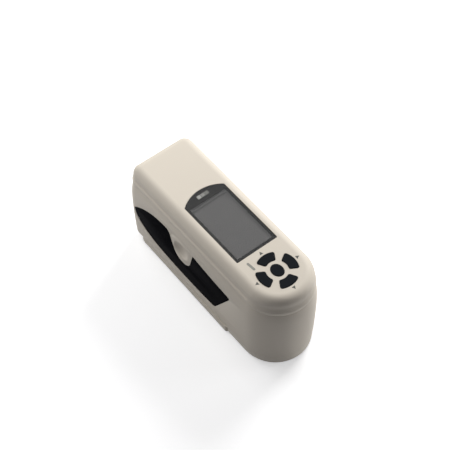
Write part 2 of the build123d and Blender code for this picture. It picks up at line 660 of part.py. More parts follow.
with BuildPart() as measure_board:
    with BuildSketch(Plane.YZ.offset(MEASURE_BOARD_X)):
        with Locations((MEASURE_KEY_Y, MEASURE_KEY_Z)):
            RectangleRounded(56, 12, 1)
        with Locations(MEASURE_POSTS):
            Circle(PASSAGE_RADIUS, mode=Mode.SUBTRACT)
    extrude(amount=BOARD)

with BuildPart() as measure_switch:
    with BuildSketch(Plane.YZ.offset(MEASURE_BOARD_X)):
        with Locations((MEASURE_KEY_Y, MEASURE_KEY_Z)):
            Rectangle(SWITCH_SIZE, SWITCH_SIZE)
    extrude(amount=-MEASURE_SWITCH_BODY)
    with BuildSketch(Plane.YZ.offset(MEASURE_BOARD_X - MEASURE_SWITCH_BODY)):
        with Locations((MEASURE_KEY_Y, MEASURE_KEY_Z)):
            Circle(1.6)
    extrude(amount=-MEASURE_PLUNGER)

# ---------------------------------------------------------------- display

with BuildPart() as display_window:
    with BuildSketch(Plane.XY.offset(WINDOW_TOP_Z)):
        add(window_outline())
    extrude(amount=-WINDOW_THICKNESS)
    chamfer(display_window.faces().sort_by(Axis.Z)[-1].edges(), 0.2)

with BuildPart() as display_mask:
    with BuildSketch(Plane.XY.offset(WINDOW_SEAT_Z)):
        add(window_outline())
        add(view_rectangle(), mode=Mode.SUBTRACT)
    extrude(amount=MASK_THICKNESS)

with BuildPart() as lcd_frame:
    frame_middle = sum(LCD_FRAME_Y) / 2
    frame_length = LCD_FRAME_Y[1] - LCD_FRAME_Y[0]
    with BuildSketch(Plane.XY.offset(LCD_FRAME_Z)):
        with Locations((0, frame_middle)):
            Rectangle(2 * LCD_FRAME_HALF_WIDTH, frame_length)
    extrude(amount=CEILING_Z - LCD_FRAME_Z)
    with BuildSketch(Plane.XY.offset(LCD_FRAME_Z + LCD_WALL)):
        with Locations((0, frame_middle)):
            Rectangle(2 * (LCD_FRAME_HALF_WIDTH - LCD_WALL), frame_length - 2 * LCD_WALL)
    extrude(amount=CUT, mode=Mode.SUBTRACT)

with BuildPart() as lcd_panel:
    panel_inset = LCD_WALL + SLIP
    with BuildSketch(Plane.XY.offset(LCD_FRAME_Z + LCD_WALL)):
        with Locations((0, frame_middle)):
            Rectangle(2 * (LCD_FRAME_HALF_WIDTH - panel_inset), frame_length - 2 * panel_inset)
    extrude(amount=CEILING_Z - SLIP - LCD_FRAME_Z - LCD_WALL)

with BuildPart() as display_ribbon:
    with BuildSketch(Plane.YZ.offset(-9)):
        with BuildLine():
            FilletPolyline(
                (LCD_FRAME_Y[1] - 12, LCD_FRAME_Z - RIBBON),
                (LCD_FRAME_Y[1] + 5, LCD_FRAME_Z - RIBBON),
                (LCD_FRAME_Y[1] + 5, RIBBON_Z),
                (LCD_FRAME_Y[1] - 8, RIBBON_Z),
                radius=1.6,
            )
        trace(line_width=RIBBON)
    extrude(amount=18)

# ---------------------------------------------------------------- keypad

arrow_keys = {}
for key_name, angle in ARROW_KEYS.items():
    with BuildPart() as arrow_key:
        with BuildSketch(Plane.XY.offset(KEY_FLANGE_Z)):
            add(arrow_key_outline(angle))
        extrude(amount=HEIGHT - KEY_FLANGE_Z)
        fillet(arrow_key.faces().sort_by(Axis.Z)[-1].edges(), KEY_EDGE)
        with BuildSketch(Plane.XY.offset(KEY_FLANGE_Z)):
            add(arrow_key_outline(angle, KEY_FLANGE))
        extrude(amount=KEY_FLANGE)
        with BuildSketch(Plane.XY.offset(KEY_STEM_Z)):
            with Locations(ARROW_KEY_CENTRES[angle]):
                Circle(KEY_STEM_RADIUS)
        extrude(amount=KEY_FLANGE_Z - KEY_STEM_Z)
    arrow_keys[key_name] = arrow_key

with BuildPart() as key_centre:
    with BuildSketch(Plane.XY.offset(KEY_FLANGE_Z)):
        add(centre_key_outline())
    extrude(amount=HEIGHT - KEY_FLANGE_Z)
    fillet(key_centre.faces().sort_by(Axis.Z)[-1].edges(), KEY_EDGE)
    with BuildSketch(Plane.XY.offset(KEY_FLANGE_Z)):
        add(centre_key_outline(KEY_FLANGE))
    extrude(amount=KEY_FLANGE)
    with BuildSketch(Plane.XY.offset(KEY_STEM_Z)):
        with Locations((0, TOWER_Y)):
            Circle(KEY_STEM_RADIUS)
    extrude(amount=KEY_FLANGE_Z - KEY_STEM_Z)

with BuildPart() as keypad_mat:
    with BuildSketch(Plane.XY.offset(KEY_BOARD_TOP_Z)):
        with Locations((0, TOWER_Y)):
            Circle(MAT_RADIUS)
            Circle(MAT_RADIUS - 1.1, mode=Mode.SUBTRACT)
    extrude(amount=MAT_Z - KEY_BOARD_TOP_Z)
    with BuildSketch(Plane.XY.offset(MAT_Z)):
        with Locations((0, TOWER_Y)):
            Circle(MAT_RADIUS)
        with Locations(KEY_CENTRES):
            Circle(KEY_STEM_RADIUS + 0.4, mode=Mode.SUBTRACT)
    extrude(amount=MAT_THICKNESS)
    with BuildSketch(Plane.XY.offset(KEY_BOARD_TOP_Z)):
        add(light_pipe_outline(0.5))
    extrude(amount=CUT, mode=Mode.SUBTRACT)

with BuildPart() as key_board:
    with BuildSketch(Plane.XY.offset(KEY_BOARD_Z)):
        with Locations((0, TOWER_Y)):
            Circle(KEY_BOARD_RADIUS)
            Rectangle(*KEY_BOARD_TAIL, align=(Align.CENTER, Align.MIN))
        with Locations(KEY_POSTS):
            Circle(PASSAGE_RADIUS, mode=Mode.SUBTRACT)
    extrude(amount=BOARD)

with BuildPart() as key_switches:
    with BuildSketch(Plane.XY.offset(KEY_BOARD_TOP_Z)):
        with Locations(KEY_CENTRES):
            Rectangle(SWITCH_SIZE, SWITCH_SIZE)
    extrude(amount=SWITCH_BODY)
    with BuildSketch(Plane.XY.offset(KEY_BOARD_TOP_Z + SWITCH_BODY)):
        with Locations(KEY_CENTRES):
            Circle(1.5)
    extrude(amount=SWITCH_PLUNGER)

with BuildPart() as status_light_pipe:
    with BuildSketch(Plane.XY.offset(KEY_BOARD_TOP_Z + 1)):
        add(light_pipe_outline())
    extrude(amount=COVER_TOP_Z + HAIRLINE - KEY_BOARD_TOP_Z - 1)

with BuildPart() as status_led:
    with Locations(Location((*LIGHT_PIPE_AT, KEY_BOARD_TOP_Z), (0, 0, LIGHT_PIPE_TURN))):
        Box(3, 1.6, 0.8, align=(Align.CENTER, Align.CENTER, Align.MIN))

with BuildPart() as keypad_ribbon:
    with BuildSketch(Plane.YZ.offset(-6)):
        with BuildLine():
            FilletPolyline(
                (TOWER_Y + 16, KEY_BOARD_Z - RIBBON),
                (TOWER_Y + 27, KEY_BOARD_Z - RIBBON),
                (TOWER_Y + 27, RIBBON_Z),
                (MAIN_BOARD_Y[0] + 6, RIBBON_Z),
                radius=1.2,
            )
        trace(line_width=RIBBON)
    extrude(amount=12)

# ---------------------------------------------------------------- main board

with BuildPart() as main_board:
    with BuildSketch(Plane.XY.offset(MAIN_BOARD_Z)):
        with Locations((0, sum(MAIN_BOARD_Y) / 2)):
            RectangleRounded(2 * MAIN_BOARD_HALF_WIDTH, MAIN_BOARD_Y[1] - MAIN_BOARD_Y[0], 2)
        with Locations(BOARD_POSTS):
            Circle(PASSAGE_RADIUS, mode=Mode.SUBTRACT)
    extrude(amount=BOARD)

with BuildPart() as board_components:
    underside_chips = (
        ((0, 8), (14, 14, 1.4)),
        ((18, 14), (10, 6, 1.2)),
        ((-18, 2), (8, 12, 1.6)),
        ((-15, 34), (6, 6, 3)),
        ((6, -20), (12, 4, 2.5)),
        ((20, -12), (5, 8, 2)),
        ((14, 50), (16, 5, 4)),
    )
    for place, size in underside_chips:
        with Locations((*place, MAIN_BOARD_Z)):
            Box(*size, align=(Align.CENTER, Align.CENTER, Align.MAX))
    ribbon_sockets = (
        ((0, LCD_FRAME_Y[1] - 7), (20, 4, RIBBON_SOCKET)),
        ((0, MAIN_BOARD_Y[0] + 4), (14, 4, RIBBON_SOCKET)),
    )
    for place, size in ribbon_sockets:
        with Locations((*place, MAIN_BOARD_Z + BOARD)):
            Box(*size, align=(Align.CENTER, Align.CENTER, Align.MIN))

with BuildPart() as buzzer:
    with BuildSketch(Plane.XY.offset(MAIN_BOARD_Z)):
        with Locations(BUZZER_AT):
            Circle(6)
    extrude(amount=-4)
    with BuildSketch(Plane.XY.offset(MAIN_BOARD_Z - 4)):
        with Locations(BUZZER_AT):
            Circle(1)
    extrude(amount=1.5, mode=Mode.SUBTRACT)

with BuildPart() as board_screws:
    for posts, seat in ((BOARD_POSTS, MAIN_BOARD_Z), (KEY_POSTS, KEY_BOARD_Z)):
        with BuildSketch(Plane.XY.offset(seat)):
            with Locations(posts):
                Circle(HEAD_RADIUS)
        extrude(amount=-HEAD_HEIGHT)
        with BuildSketch(Plane.XY.offset(seat)):
            with Locations(posts):
                Circle(SCREW_RADIUS)
        extrude(amount=BOARD + 3.2)
    for depth, radius in ((HEAD_HEIGHT, HEAD_RADIUS), (-BOARD - 4, SCREW_RADIUS)):
        with BuildSketch(Plane.YZ.offset(MEASURE_BOARD_X + BOARD)):
            with Locations(MEASURE_POSTS):
                Circle(radius)
        extrude(amount=depth)

with BuildPart() as cover_screws:
    with BuildSketch(Plane.XY.offset(COVER_LUG_Z)):
        with Locations(COVER_POSTS):
            Circle(HEAD_RADIUS)
    extrude(amount=-HEAD_HEIGHT)
    with BuildSketch(Plane.XY.offset(COVER_LUG_Z)):
        with Locations(COVER_POSTS):
            Circle(SCREW_RADIUS)
    extrude(amount=COVER_POST_Z - COVER_LUG_Z + 6)

with BuildPart() as base_screws:
    with BuildSketch(Plane.XY.offset(BASE_HEAD_Z)):
        with Locations(BASE_SCREWS):
            Circle(BASE_HEAD_RADIUS)
    extrude(amount=-2)
    with BuildSketch(Plane.XY.offset(BASE_HEAD_Z - 2)):
        with Locations(BASE_SCREWS):
            RegularPolygon(1.3, 6)
    extrude(amount=1.2, mode=Mode.SUBTRACT)
    with BuildSketch(Plane.XY.offset(BASE_HEAD_Z)):
        with Locations(BASE_SCREWS):
            Circle(SCREW_RADIUS)
    extrude(amount=13)

# ---------------------------------------------------------------- measuring tower

with BuildPart() as tower_floor:
    with BuildSketch(Plane.XY.offset(TOWER_FOOT_Z)):
        add(round_ended_outline(FLOOR_RADIUS, FLOOR_BACK_Y))
        with Locations((0, TOWER_Y)):
            Circle(NOSE_RADIUS + HAIRLINE, mode=Mode.SUBTRACT)
    extrude(amount=FLOOR_TOP_Z - TOWER_FOOT_Z)
    with BuildSketch(Plane.XY.offset(FLOOR_TOP_Z)):
        with Locations(PILLARS):
            Circle(PILLAR_RADIUS)
    extrude(amount=SPHERE_Z - SPHERE_FLANGE - FLOOR_TOP_Z)
    with BuildSketch(Plane.XY.offset(PILLAR_PILOT_Z)):
        with Locations(PILLARS):
            Circle(PILOT_RADIUS)
    extrude(amount=SPHERE_Z, mode=Mode.SUBTRACT)
    with Locations(*[Location((x, y, TOWER_FOOT_Z), (180, 0, 0)) for x, y in FLOOR_SCREWS]):
        CounterSinkHole(PASSAGE_RADIUS, 2.9, depth=5)

with BuildPart() as floor_screws:
    with BuildSketch(Plane.XY.offset(TOWER_FOOT_Z + 0.1)):
        with Locations(FLOOR_SCREWS):
            Circle(SCREW_RADIUS)
    extrude(amount=14)
    with Locations(*[(x, y, TOWER_FOOT_Z + 0.1) for x, y in FLOOR_SCREWS]):
        Cone(2.6, SCREW_RADIUS, 1.4, align=(Align.CENTER, Align.CENTER, Align.MIN))
    with BuildSketch(Plane.XY.offset(TOWER_FOOT_Z + 0.1)):
        with Locations(FLOOR_SCREWS):
            RegularPolygon(1.0, 6)
    extrude(amount=0.9, mode=Mode.SUBTRACT)

with BuildPart() as measuring_nose:
    with BuildSketch(TOWER_SECTION):
        with BuildLine():
            Polyline(
                (APERTURE_RADIUS, BASE_BOTTOM_Z),
                (NOSE_RADIUS, BASE_BOTTOM_Z),
                (NOSE_RADIUS, FLOOR_TOP_Z),
                (NOSE_RADIUS + NOSE_FLANGE, FLOOR_TOP_Z),
                (NOSE_RADIUS + NOSE_FLANGE, NOSE_TOP_Z),
                (GLASS_RADIUS + HAIRLINE, NOSE_TOP_Z),
                (GLASS_RADIUS + HAIRLINE, NOSE_TOP_Z - GLASS_THICKNESS),
                (GLASS_RADIUS - 1, NOSE_TOP_Z - GLASS_THICKNESS),
                (APERTURE_RADIUS, BASE_BOTTOM_Z + 0.8),
                close=True,
            )
        make_face()
    revolve(axis=TOWER_AXIS)
    chamfer(measuring_nose.edges().group_by(Axis.Z)[0].sort_by(SortBy.RADIUS)[-1], 0.5)

with BuildPart() as dust_glass:
    with BuildSketch(Plane.XY.offset(NOSE_TOP_Z - GLASS_THICKNESS)):
        with Locations((0, TOWER_Y)):
            Circle(GLASS_RADIUS)
    extrude(amount=GLASS_THICKNESS)

with BuildPart() as sphere_lower:
    with BuildSketch(TOWER_SECTION):
        with Locations((0, SPHERE_Z)):
            Circle(SPHERE_OUTER)
            Rectangle(2 * SPHERE_FLANGE_RADIUS, SPHERE_FLANGE, align=(Align.CENTER, Align.MAX))
            Circle(SPHERE_RADIUS, mode=Mode.SUBTRACT)
        with Locations((SAMPLE_PORT_RADIUS, SPHERE_Z)):
            Rectangle(50, 50, align=(Align.MIN, Align.MAX), mode=Mode.INTERSECT)
    revolve(axis=TOWER_AXIS)
    with BuildSketch(Plane.XY.offset(SPHERE_Z)):
        with Locations(PILLARS):
            Circle(PASSAGE_RADIUS)
    extrude(amount=-SPHERE_FLANGE, mode=Mode.SUBTRACT)

with BuildPart() as sphere_upper:
    with BuildSketch(TOWER_SECTION):
        with Locations((0, SPHERE_Z)):
            Circle(SPHERE_OUTER)
            Rectangle(2 * SPHERE_FLANGE_RADIUS, SPHERE_FLANGE, align=(Align.CENTER, Align.MIN))
            Rectangle(50, 50, align=(Align.MIN, Align.MIN), mode=Mode.INTERSECT)
    revolve(axis=TOWER_AXIS)
    rays = ((SENSOR_ANGLE, SENSOR_TUBE, SENSOR_COLLAR_END), (LAMP_ANGLE, LAMP_TUBE, LAMP_COLLAR_END))
    for angle, (port_radius, tube_radius), collar_end in rays:
        with BuildSketch(tilted_plane(angle, SPHERE_RADIUS - 3)):
            Circle(tube_radius + 1.6)
        extrude(amount=collar_end - SPHERE_RADIUS + 3)
    with BuildSketch(TOWER_SECTION):
        with Locations((0, SPHERE_Z)):
            Circle(SPHERE_RADIUS)
            Rectangle(50, 50, align=(Align.MIN, Align.MIN), mode=Mode.INTERSECT)
    revolve(axis=TOWER_AXIS, mode=Mode.SUBTRACT)
    for angle, (port_radius, tube_radius), collar_end in rays:
        with BuildSketch(tilted_plane(angle, SPHERE_RADIUS - 3)):
            Circle(port_radius)
        extrude(amount=collar_end, mode=Mode.SUBTRACT)
        with BuildSketch(tilted_plane(angle, TUBE_SEAT)):
            Circle(tube_radius + HAIRLINE)
        extrude(amount=collar_end, mode=Mode.SUBTRACT)
    with BuildSketch(Plane.XY.offset(SPHERE_Z)):
        with Locations(PILLARS):
            Circle(PASSAGE_RADIUS)
    extrude(amount=SPHERE_FLANGE, mode=Mode.SUBTRACT)

with BuildPart() as sphere_screws:
    with BuildSketch(Plane.XY.offset(SPHERE_Z + SPHERE_FLANGE)):
        with Locations(PILLARS):
            Circle(HEAD_RADIUS)
    extrude(amount=HEAD_HEIGHT)
    with BuildSketch(Plane.XY.offset(SPHERE_Z + SPHERE_FLANGE)):
        with Locations(PILLARS):
            Circle(SCREW_RADIUS)
    extrude(amount=-10)

with BuildPart() as baffle:
    with BuildSketch(Plane((0, TOWER_Y + 13.5, SPHERE_Z + 3.2), x_dir=(1, 0, 0), z_dir=(0, 0.41, 0.91))):
        Rectangle(12, 14)
    extrude(amount=0.8)
    with Locations((0, TOWER_Y, SPHERE_Z)):
        Sphere(SPHERE_RADIUS - HAIRLINE, mode=Mode.INTERSECT)

with BuildPart() as lamp_housing:
    with BuildSketch(tilted_plane(LAMP_ANGLE, TUBE_SEAT + HAIRLINE)):
        Circle(LAMP_TUBE[1])
        Circle(LAMP_TUBE[0], mode=Mode.SUBTRACT)
    extrude(amount=LAMP_BOARD_DISTANCE - TUBE_SEAT - HAIRLINE)

with BuildPart() as lamp_board:
    with BuildSketch(tilted_plane(LAMP_ANGLE, LAMP_BOARD_DISTANCE)):
        Circle(LAMP_TUBE[1] + 1.5)
    extrude(amount=BOARD)

with BuildPart() as lamp_led:
    with BuildSketch(tilted_plane(LAMP_ANGLE, LAMP_BOARD_DISTANCE)):
        Circle(2.9)
    extrude(amount=-1)
    with BuildSketch(tilted_plane(LAMP_ANGLE, LAMP_BOARD_DISTANCE - 1)):
        Circle(2.5)
    extrude(amount=-3)
    fillet(lamp_led.faces().sort_by(Axis.Z)[0].edges(), 2)

with BuildPart() as sensor_tube:
    with BuildSketch(tilted_plane(SENSOR_ANGLE, TUBE_SEAT + HAIRLINE)):
        Circle(SENSOR_TUBE[1])
        Circle(SENSOR_TUBE[0], mode=Mode.SUBTRACT)
    extrude(amount=SENSOR_BOARD_DISTANCE - TUBE_SEAT - HAIRLINE)

with BuildPart() as sensor_lens:
    with BuildSketch(tilted_plane(SENSOR_ANGLE, LENS_DISTANCE)):
        Circle(SENSOR_TUBE[0] - HAIRLINE)
    extrude(amount=2)
    chamfer(sensor_lens.edges().filter_by(GeomType.CIRCLE), 0.3)

with BuildPart() as sensor_board:
    with BuildSketch(tilted_plane(SENSOR_ANGLE, SENSOR_BOARD_DISTANCE)):
        RectangleRounded(22, 20, 1)
    extrude(amount=BOARD)

with BuildPart() as colour_sensor:
    with BuildSketch(tilted_plane(SENSOR_ANGLE, SENSOR_BOARD_DISTANCE)):
        Rectangle(5, 5)
    extrude(amount=-1.4)

# ---------------------------------------------------------------- calibration cap

with BuildPart() as calibration_cap:
    with BuildSketch():
        with Locations((0, TOWER_Y)):
            Circle(CAP_RADIUS)
    extrude(amount=CAP_TOP_Z)
    fillet(calibration_cap.edges().group_by(Axis.Z)[0], 0.8)
    for seat_z, radius in ((BASE_BOTTOM_Z - HAIRLINE, NOSE_RADIUS), (TILE_Z, TILE_RADIUS)):
        with BuildSketch(Plane.XY.offset(seat_z)):
            with Locations((0, TOWER_Y)):
                Circle(radius + 2 * HAIRLINE)
        extrude(amount=CAP_TOP_Z, mode=Mode.SUBTRACT)
    with BuildSketch(Plane.XY.offset(CAP_FLOOR_Z)):
        with Locations((0, TOWER_Y)):
            Circle(CAP_RADIUS - CAP_RIM)
            Circle(NOSE_RADIUS + CAP_RIM, mode=Mode.SUBTRACT)
    extrude(amount=CAP_TOP_Z, mode=Mode.SUBTRACT)

with BuildPart() as white_tile:
    with BuildSketch(Plane.XY.offset(TILE_Z)):
        with Locations((0, TOWER_Y)):
            Circle(TILE_RADIUS)
    extrude(amount=TILE_THICKNESS)

# ---------------------------------------------------------------- battery

with BuildPart() as battery_pack:
    pack_front = DOOR_FRONT_Y + 4.6
    pack_length = BAY_BACK_Y - 1.5 - pack_front
    with BuildSketch(Plane.XY.offset(BASE_FLOOR_Z + SLIP)):
        with Locations((0, pack_front + pack_length / 2)):
            Rectangle(2 * BAY_HALF_WIDTH - 2.6, pack_length)
    extrude(amount=BATTERY_HEIGHT)
    fillet(battery_pack.edges().filter_by(Axis.Y), 2.5)

with BuildPart() as battery_contacts:
    with Locations(*[(x, DOOR_FRONT_Y + CONTACT_STRIP / 2 + HAIRLINE, 12) for x in CONTACT_X]):
        Box(CONTACT_WIDTH, CONTACT_STRIP, 9)
    with Locations(*[(x, DOOR_FRONT_Y + 2.5, 10) for x in CONTACT_X]):
        Box(CONTACT_WIDTH, 4, CONTACT_STRIP)
    with Locations(*[(x, DOOR_FRONT_Y - 1.2, CONTACT_TAIL_Z) for x in CONTACT_X]):
        Box(CONTACT_WIDTH, 3, CONTACT_STRIP)

with BuildPart() as battery_leads:
    for x in (CONTACT_X[0], CONTACT_X[-1]):
        with BuildLine():
            lead = FilletPolyline(
                (x, DOOR_FRONT_Y - 3.4, CONTACT_TAIL_Z),
                (x, DOOR_FRONT_Y - 9, CONTACT_TAIL_Z),
                (x, DOOR_FRONT_Y - 9, MAIN_BOARD_Z - HAIRLINE),
                radius=2.5,
            )
        with BuildSketch(Plane(origin=lead @ 0, z_dir=lead % 0)):
            Circle(LEAD_RADIUS)
        sweep(path=lead)

# ---------------------------------------------------------------- back end

with BuildPart() as port_panel:
    with BuildSketch(Plane.XZ.offset(-PANEL_FACE_Y)):
        with Locations((0, PANEL_MIDDLE_Z)):
            RectangleRounded(2 * PANEL_HALF_WIDTH, PANEL_HEIGHT, 3)
    extrude(amount=PANEL_THICKNESS)
    with BuildSketch(Plane.XZ.offset(-PANEL_FACE_Y + PANEL_THICKNESS)):
        with Locations((0, PANEL_MIDDLE_Z)):
            RectangleRounded(2 * PANEL_HALF_WIDTH + 4, PANEL_HEIGHT + 4, 3)
    extrude(amount=PANEL_FLANGE)
    with BuildSketch(Plane.XZ.offset(-PANEL_FACE_Y)):
        with Locations((0, DC_Z)):
            Circle(DC_BODY / 2 - 0.2)
        with Locations((0, USB_Z)):
            RectangleRounded(USB_SHELL[0] + 0.8, USB_SHELL[1] + 0.8, 1.2)
        with Locations((0, SWITCH_Z)):
            RectangleRounded(SLIDER_WIDTH + SWITCH_TRAVEL + 0.6, 4.5, 0.6)
    extrude(amount=PANEL_THICKNESS + PANEL_FLANGE, mode=Mode.SUBTRACT)

with BuildPart() as port_board:
    with BuildSketch(Plane.XZ.offset(-PORT_BOARD_Y)):
        with Locations((0, PANEL_MIDDLE_Z)):
            RectangleRounded(2 * PANEL_HALF_WIDTH, PANEL_HEIGHT, 1)
    extrude(amount=BOARD)

with BuildPart() as dc_socket:
    with BuildSketch(Plane.XZ.offset(-PORT_BOARD_Y)):
        with Locations((0, DC_Z)):
            Rectangle(DC_BODY, DC_BODY)
    extrude(amount=PORT_BOARD_Y - PANEL_BACK_Y + SLIP)
    with BuildSketch(Plane.XZ.offset(-PORT_BOARD_Y)):
        with Locations((0, DC_Z)):
            Circle(DC_BODY / 2 - 0.35)
    extrude(amount=PORT_BOARD_Y - PANEL_FACE_Y + 0.2)
    with BuildSketch(Plane.XZ.offset(-PANEL_FACE_Y)):
        with Locations((0, DC_Z)):
            Circle(DC_BORE_RADIUS)
            Circle(DC_PIN_RADIUS, mode=Mode.SUBTRACT)
    extrude(amount=9, mode=Mode.SUBTRACT)
    with BuildSketch(Plane.XZ.offset(-PANEL_FACE_Y)):
        with Locations((0, DC_Z)):
            Circle(1)
    extrude(amount=1.6, mode=Mode.SUBTRACT)

with BuildPart() as usb_socket:
    with BuildSketch(Plane.XZ.offset(-PORT_BOARD_Y)):
        with Locations((0, USB_Z)):
            RectangleRounded(*USB_SHELL, 0.9)
    extrude(amount=PORT_BOARD_Y - PANEL_FACE_Y + 0.3)
    with BuildSketch(Plane.XZ.offset(-PANEL_FACE_Y)):
        with Locations((0, USB_Z)):
            RectangleRounded(*USB_MOUTH, 0.6)
        with Locations((0, USB_Z + 0.5)):
            Rectangle(4.6, 0.9, mode=Mode.SUBTRACT)
    extrude(amount=8, mode=Mode.SUBTRACT)
    with BuildSketch(Plane.XZ.offset(-PANEL_FACE_Y)):
        with Locations((0, USB_Z)):
            RectangleRounded(*USB_MOUTH, 0.6)
    extrude(amount=1.3, mode=Mode.SUBTRACT)

with BuildPart() as power_switch_body:
    with BuildSketch(Plane.XZ.offset(-PORT_BOARD_Y)):
        with Locations((0, SWITCH_Z)):
            Rectangle(13, 6)
    extrude(amount=-SWITCH_BODY_DEPTH)
    with BuildSketch(Plane.XZ.offset(-PORT_BOARD_Y - SWITCH_BODY_DEPTH)):
        with Locations((0, SWITCH_Z)):
            Rectangle(SWITCH_TRAVEL + 2.4, 2.4)
    extrude(amount=SWITCH_SLOT_DEPTH, mode=Mode.SUBTRACT)

with BuildPart() as power_switch_slider:
    with BuildSketch(Plane.XZ.offset(-SLIDER_FLANGE_Y)):
        with Locations((-SWITCH_TRAVEL / 2, SWITCH_Z)):
            Rectangle(SLIDER_WIDTH, 4)
    extrude(amount=SLIDER_FLANGE_Y - PANEL_FACE_Y - 1)
    for step in (-1.4, 0, 1.4):
        with Locations((step - SWITCH_TRAVEL / 2, PANEL_FACE_Y + 1, SWITCH_Z)):
            Box(0.6, 0.7, 5, mode=Mode.SUBTRACT)
    with BuildSketch(Plane.XZ.offset(-SLIDER_FLANGE_Y)):
        with Locations((-SWITCH_TRAVEL / 2, SWITCH_Z)):
            Rectangle(SLIDER_WIDTH + 3, 6)
    extrude(amount=SLIDER_FLANGE)
    with BuildSketch(Plane.XZ.offset(-SLIDER_FLANGE_Y)):
        with Locations((-SWITCH_TRAVEL / 2, SWITCH_Z)):
            Rectangle(2, 2)
    extrude(amount=SLIDER_FLANGE_Y - PORT_BOARD_Y - SWITCH_BODY_DEPTH + SLIDER_PIN_DEPTH)

# ---------------------------------------------------------------- export

pieces = {
    "top_cover": top_cover,
    "main_housing": main_housing,
    "base_plate": base_plate,
    "battery_door": battery_door,
    "rubber_feet": rubber_feet,
    "left_grip_inlay": left_grip_inlay,
    "right_grip_inlay": right_grip_inlay,
    "measure_key": measure_key,
    "finger_rest": finger_rest,
    "measure_key_spring": measure_key_spring,
    "measure_board": measure_board,
    "measure_switch": measure_switch,
    "display_window": display_window,
    "display_mask": display_mask,
    "lcd_frame": lcd_frame,
    "lcd_panel": lcd_panel,
    "display_ribbon": display_ribbon,
    **arrow_keys,
    "key_centre": key_centre,
    "keypad_mat": keypad_mat,
    "key_board": key_board,
    "key_switches": key_switches,
    "status_light_pipe": status_light_pipe,
    "status_led": status_led,
    "keypad_ribbon": keypad_ribbon,
    "main_board": main_board,
    "board_components": board_components,
    "buzzer": buzzer,
    "board_screws": board_screws,
    "cover_screws": cover_screws,
    "base_screws": base_screws,
    "tower_floor": tower_floor,
    "floor_screws": floor_screws,
    "measuring_nose": measuring_nose,
    "dust_glass": dust_glass,
    "sphere_lower": sphere_lower,
    "sphere_upper": sphere_upper,
    "sphere_screws": sphere_screws,
    "baffle": baffle,
    "lamp_housing": lamp_housing,
    "lamp_board": lamp_board,
    "lamp_led": lamp_led,
    "sensor_tube": sensor_tube,
    "sensor_lens": sensor_lens,
    "sensor_board": sensor_board,
    "colour_sensor": colour_sensor,
    "calibration_cap": calibration_cap,
    "white_tile": white_tile,
    "battery_pack": battery_pack,
    "battery_contacts": battery_contacts,
    "battery_leads": battery_leads,
    "port_panel": port_panel,
    "port_board": port_board,
    "dc_socket": dc_socket,
    "usb_socket": usb_socket,
    "power_switch_body": power_switch_body,
    "power_switch_slider": power_switch_slider,
}

os.makedirs("parts", exist_ok=True)
for name, piece in pieces.items():
    piece.part.label = name
    export_step(piece.part, f"parts/{name}.step")
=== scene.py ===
"""Looks of the portable colorimeter: finishes, printed marks, fine edges and the studio round it.

The packed model is the frame: -Y is the round measuring tower, +Z is up, and lengths are in metres. Sizes
that a maker would quote are written in millimetres and multiplied by MM.
"""

from math import cos, pi, radians, sin

import bmesh
import bpy
from bpy.props import FloatProperty, FloatVectorProperty, PointerProperty
from mathutils import Matrix, Vector


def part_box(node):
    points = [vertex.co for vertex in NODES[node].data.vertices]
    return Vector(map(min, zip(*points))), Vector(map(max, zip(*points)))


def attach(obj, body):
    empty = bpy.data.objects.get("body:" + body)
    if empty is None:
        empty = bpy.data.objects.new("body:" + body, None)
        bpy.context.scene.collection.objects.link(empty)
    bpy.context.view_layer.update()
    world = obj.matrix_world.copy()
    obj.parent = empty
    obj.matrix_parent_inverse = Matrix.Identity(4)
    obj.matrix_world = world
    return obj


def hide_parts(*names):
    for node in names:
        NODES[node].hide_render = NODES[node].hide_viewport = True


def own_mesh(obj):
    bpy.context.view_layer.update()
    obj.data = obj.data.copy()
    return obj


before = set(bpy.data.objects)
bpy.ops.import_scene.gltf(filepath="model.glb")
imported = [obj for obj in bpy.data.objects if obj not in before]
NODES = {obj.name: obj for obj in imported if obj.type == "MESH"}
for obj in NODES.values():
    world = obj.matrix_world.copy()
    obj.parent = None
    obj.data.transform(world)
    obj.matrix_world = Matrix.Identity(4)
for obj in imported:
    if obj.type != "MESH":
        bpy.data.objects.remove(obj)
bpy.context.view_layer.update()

bl_info = {
    "name": "Portable colorimeter looks",
    "version": (1, 0, 0),
    "blender": (4, 5, 0),
    "location": "3D View > Sidebar > Colorimeter",
    "description": "Finishes and printed marks of a portable colorimeter, and a small studio for it",
    "category": "Object",
}

MM = 0.001
INSTRUMENT = "instrument"  # the body that everything fixed rides on

COVER_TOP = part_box("top_cover")[1].z
TOWER_Y = (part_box("key_centre")[0].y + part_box("key_centre")[1].y) / 2
MASK_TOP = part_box("display_mask")[1].z
ARCH_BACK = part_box("display_mask")[1].y
SCREEN_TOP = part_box("lcd_panel")[1].z
PANEL_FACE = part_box("port_panel")[1].y
DOOR_LOW, DOOR_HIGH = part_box("battery_door")
SLIDER_LOW, SLIDER_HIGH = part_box("power_switch_slider")
ARROW_KEYS = {"key_right": 0, "key_up": 90, "key_left": 180, "key_down": 270}  # degrees round the tower
INK = 0.03 * MM  # thickness of a printed mark
CREASE = radians(40)  # edges sharper than this are rounded
DISPLAY_LINE_Y = 24.4 * MM
DISPLAY_LINE_LENGTH = 37 * MM
PATCH_COLOURS = ("#9A9A94", "#7C7C76", "#5E5E59")
PATCH_INSET = 5.6 * MM  # from the window's back edge to the middle of the patches
PATCH_GAP = 0.5 * MM
DOOR_ARROW = 7 * MM
DOOR_ARROW_INSET = 24 * MM  # from the door's back edge
DOOR_ARROW_RISE = 0.3 * MM
DOOR_ARROW_ROOT = 0.05 * MM  # how far it reaches into the door
SWITCH_MARK_X = 9 * MM  # both sides of the power switch
OFF_MARK = (1.3 * MM, 0.95 * MM)  # outer and inner radius of the ring
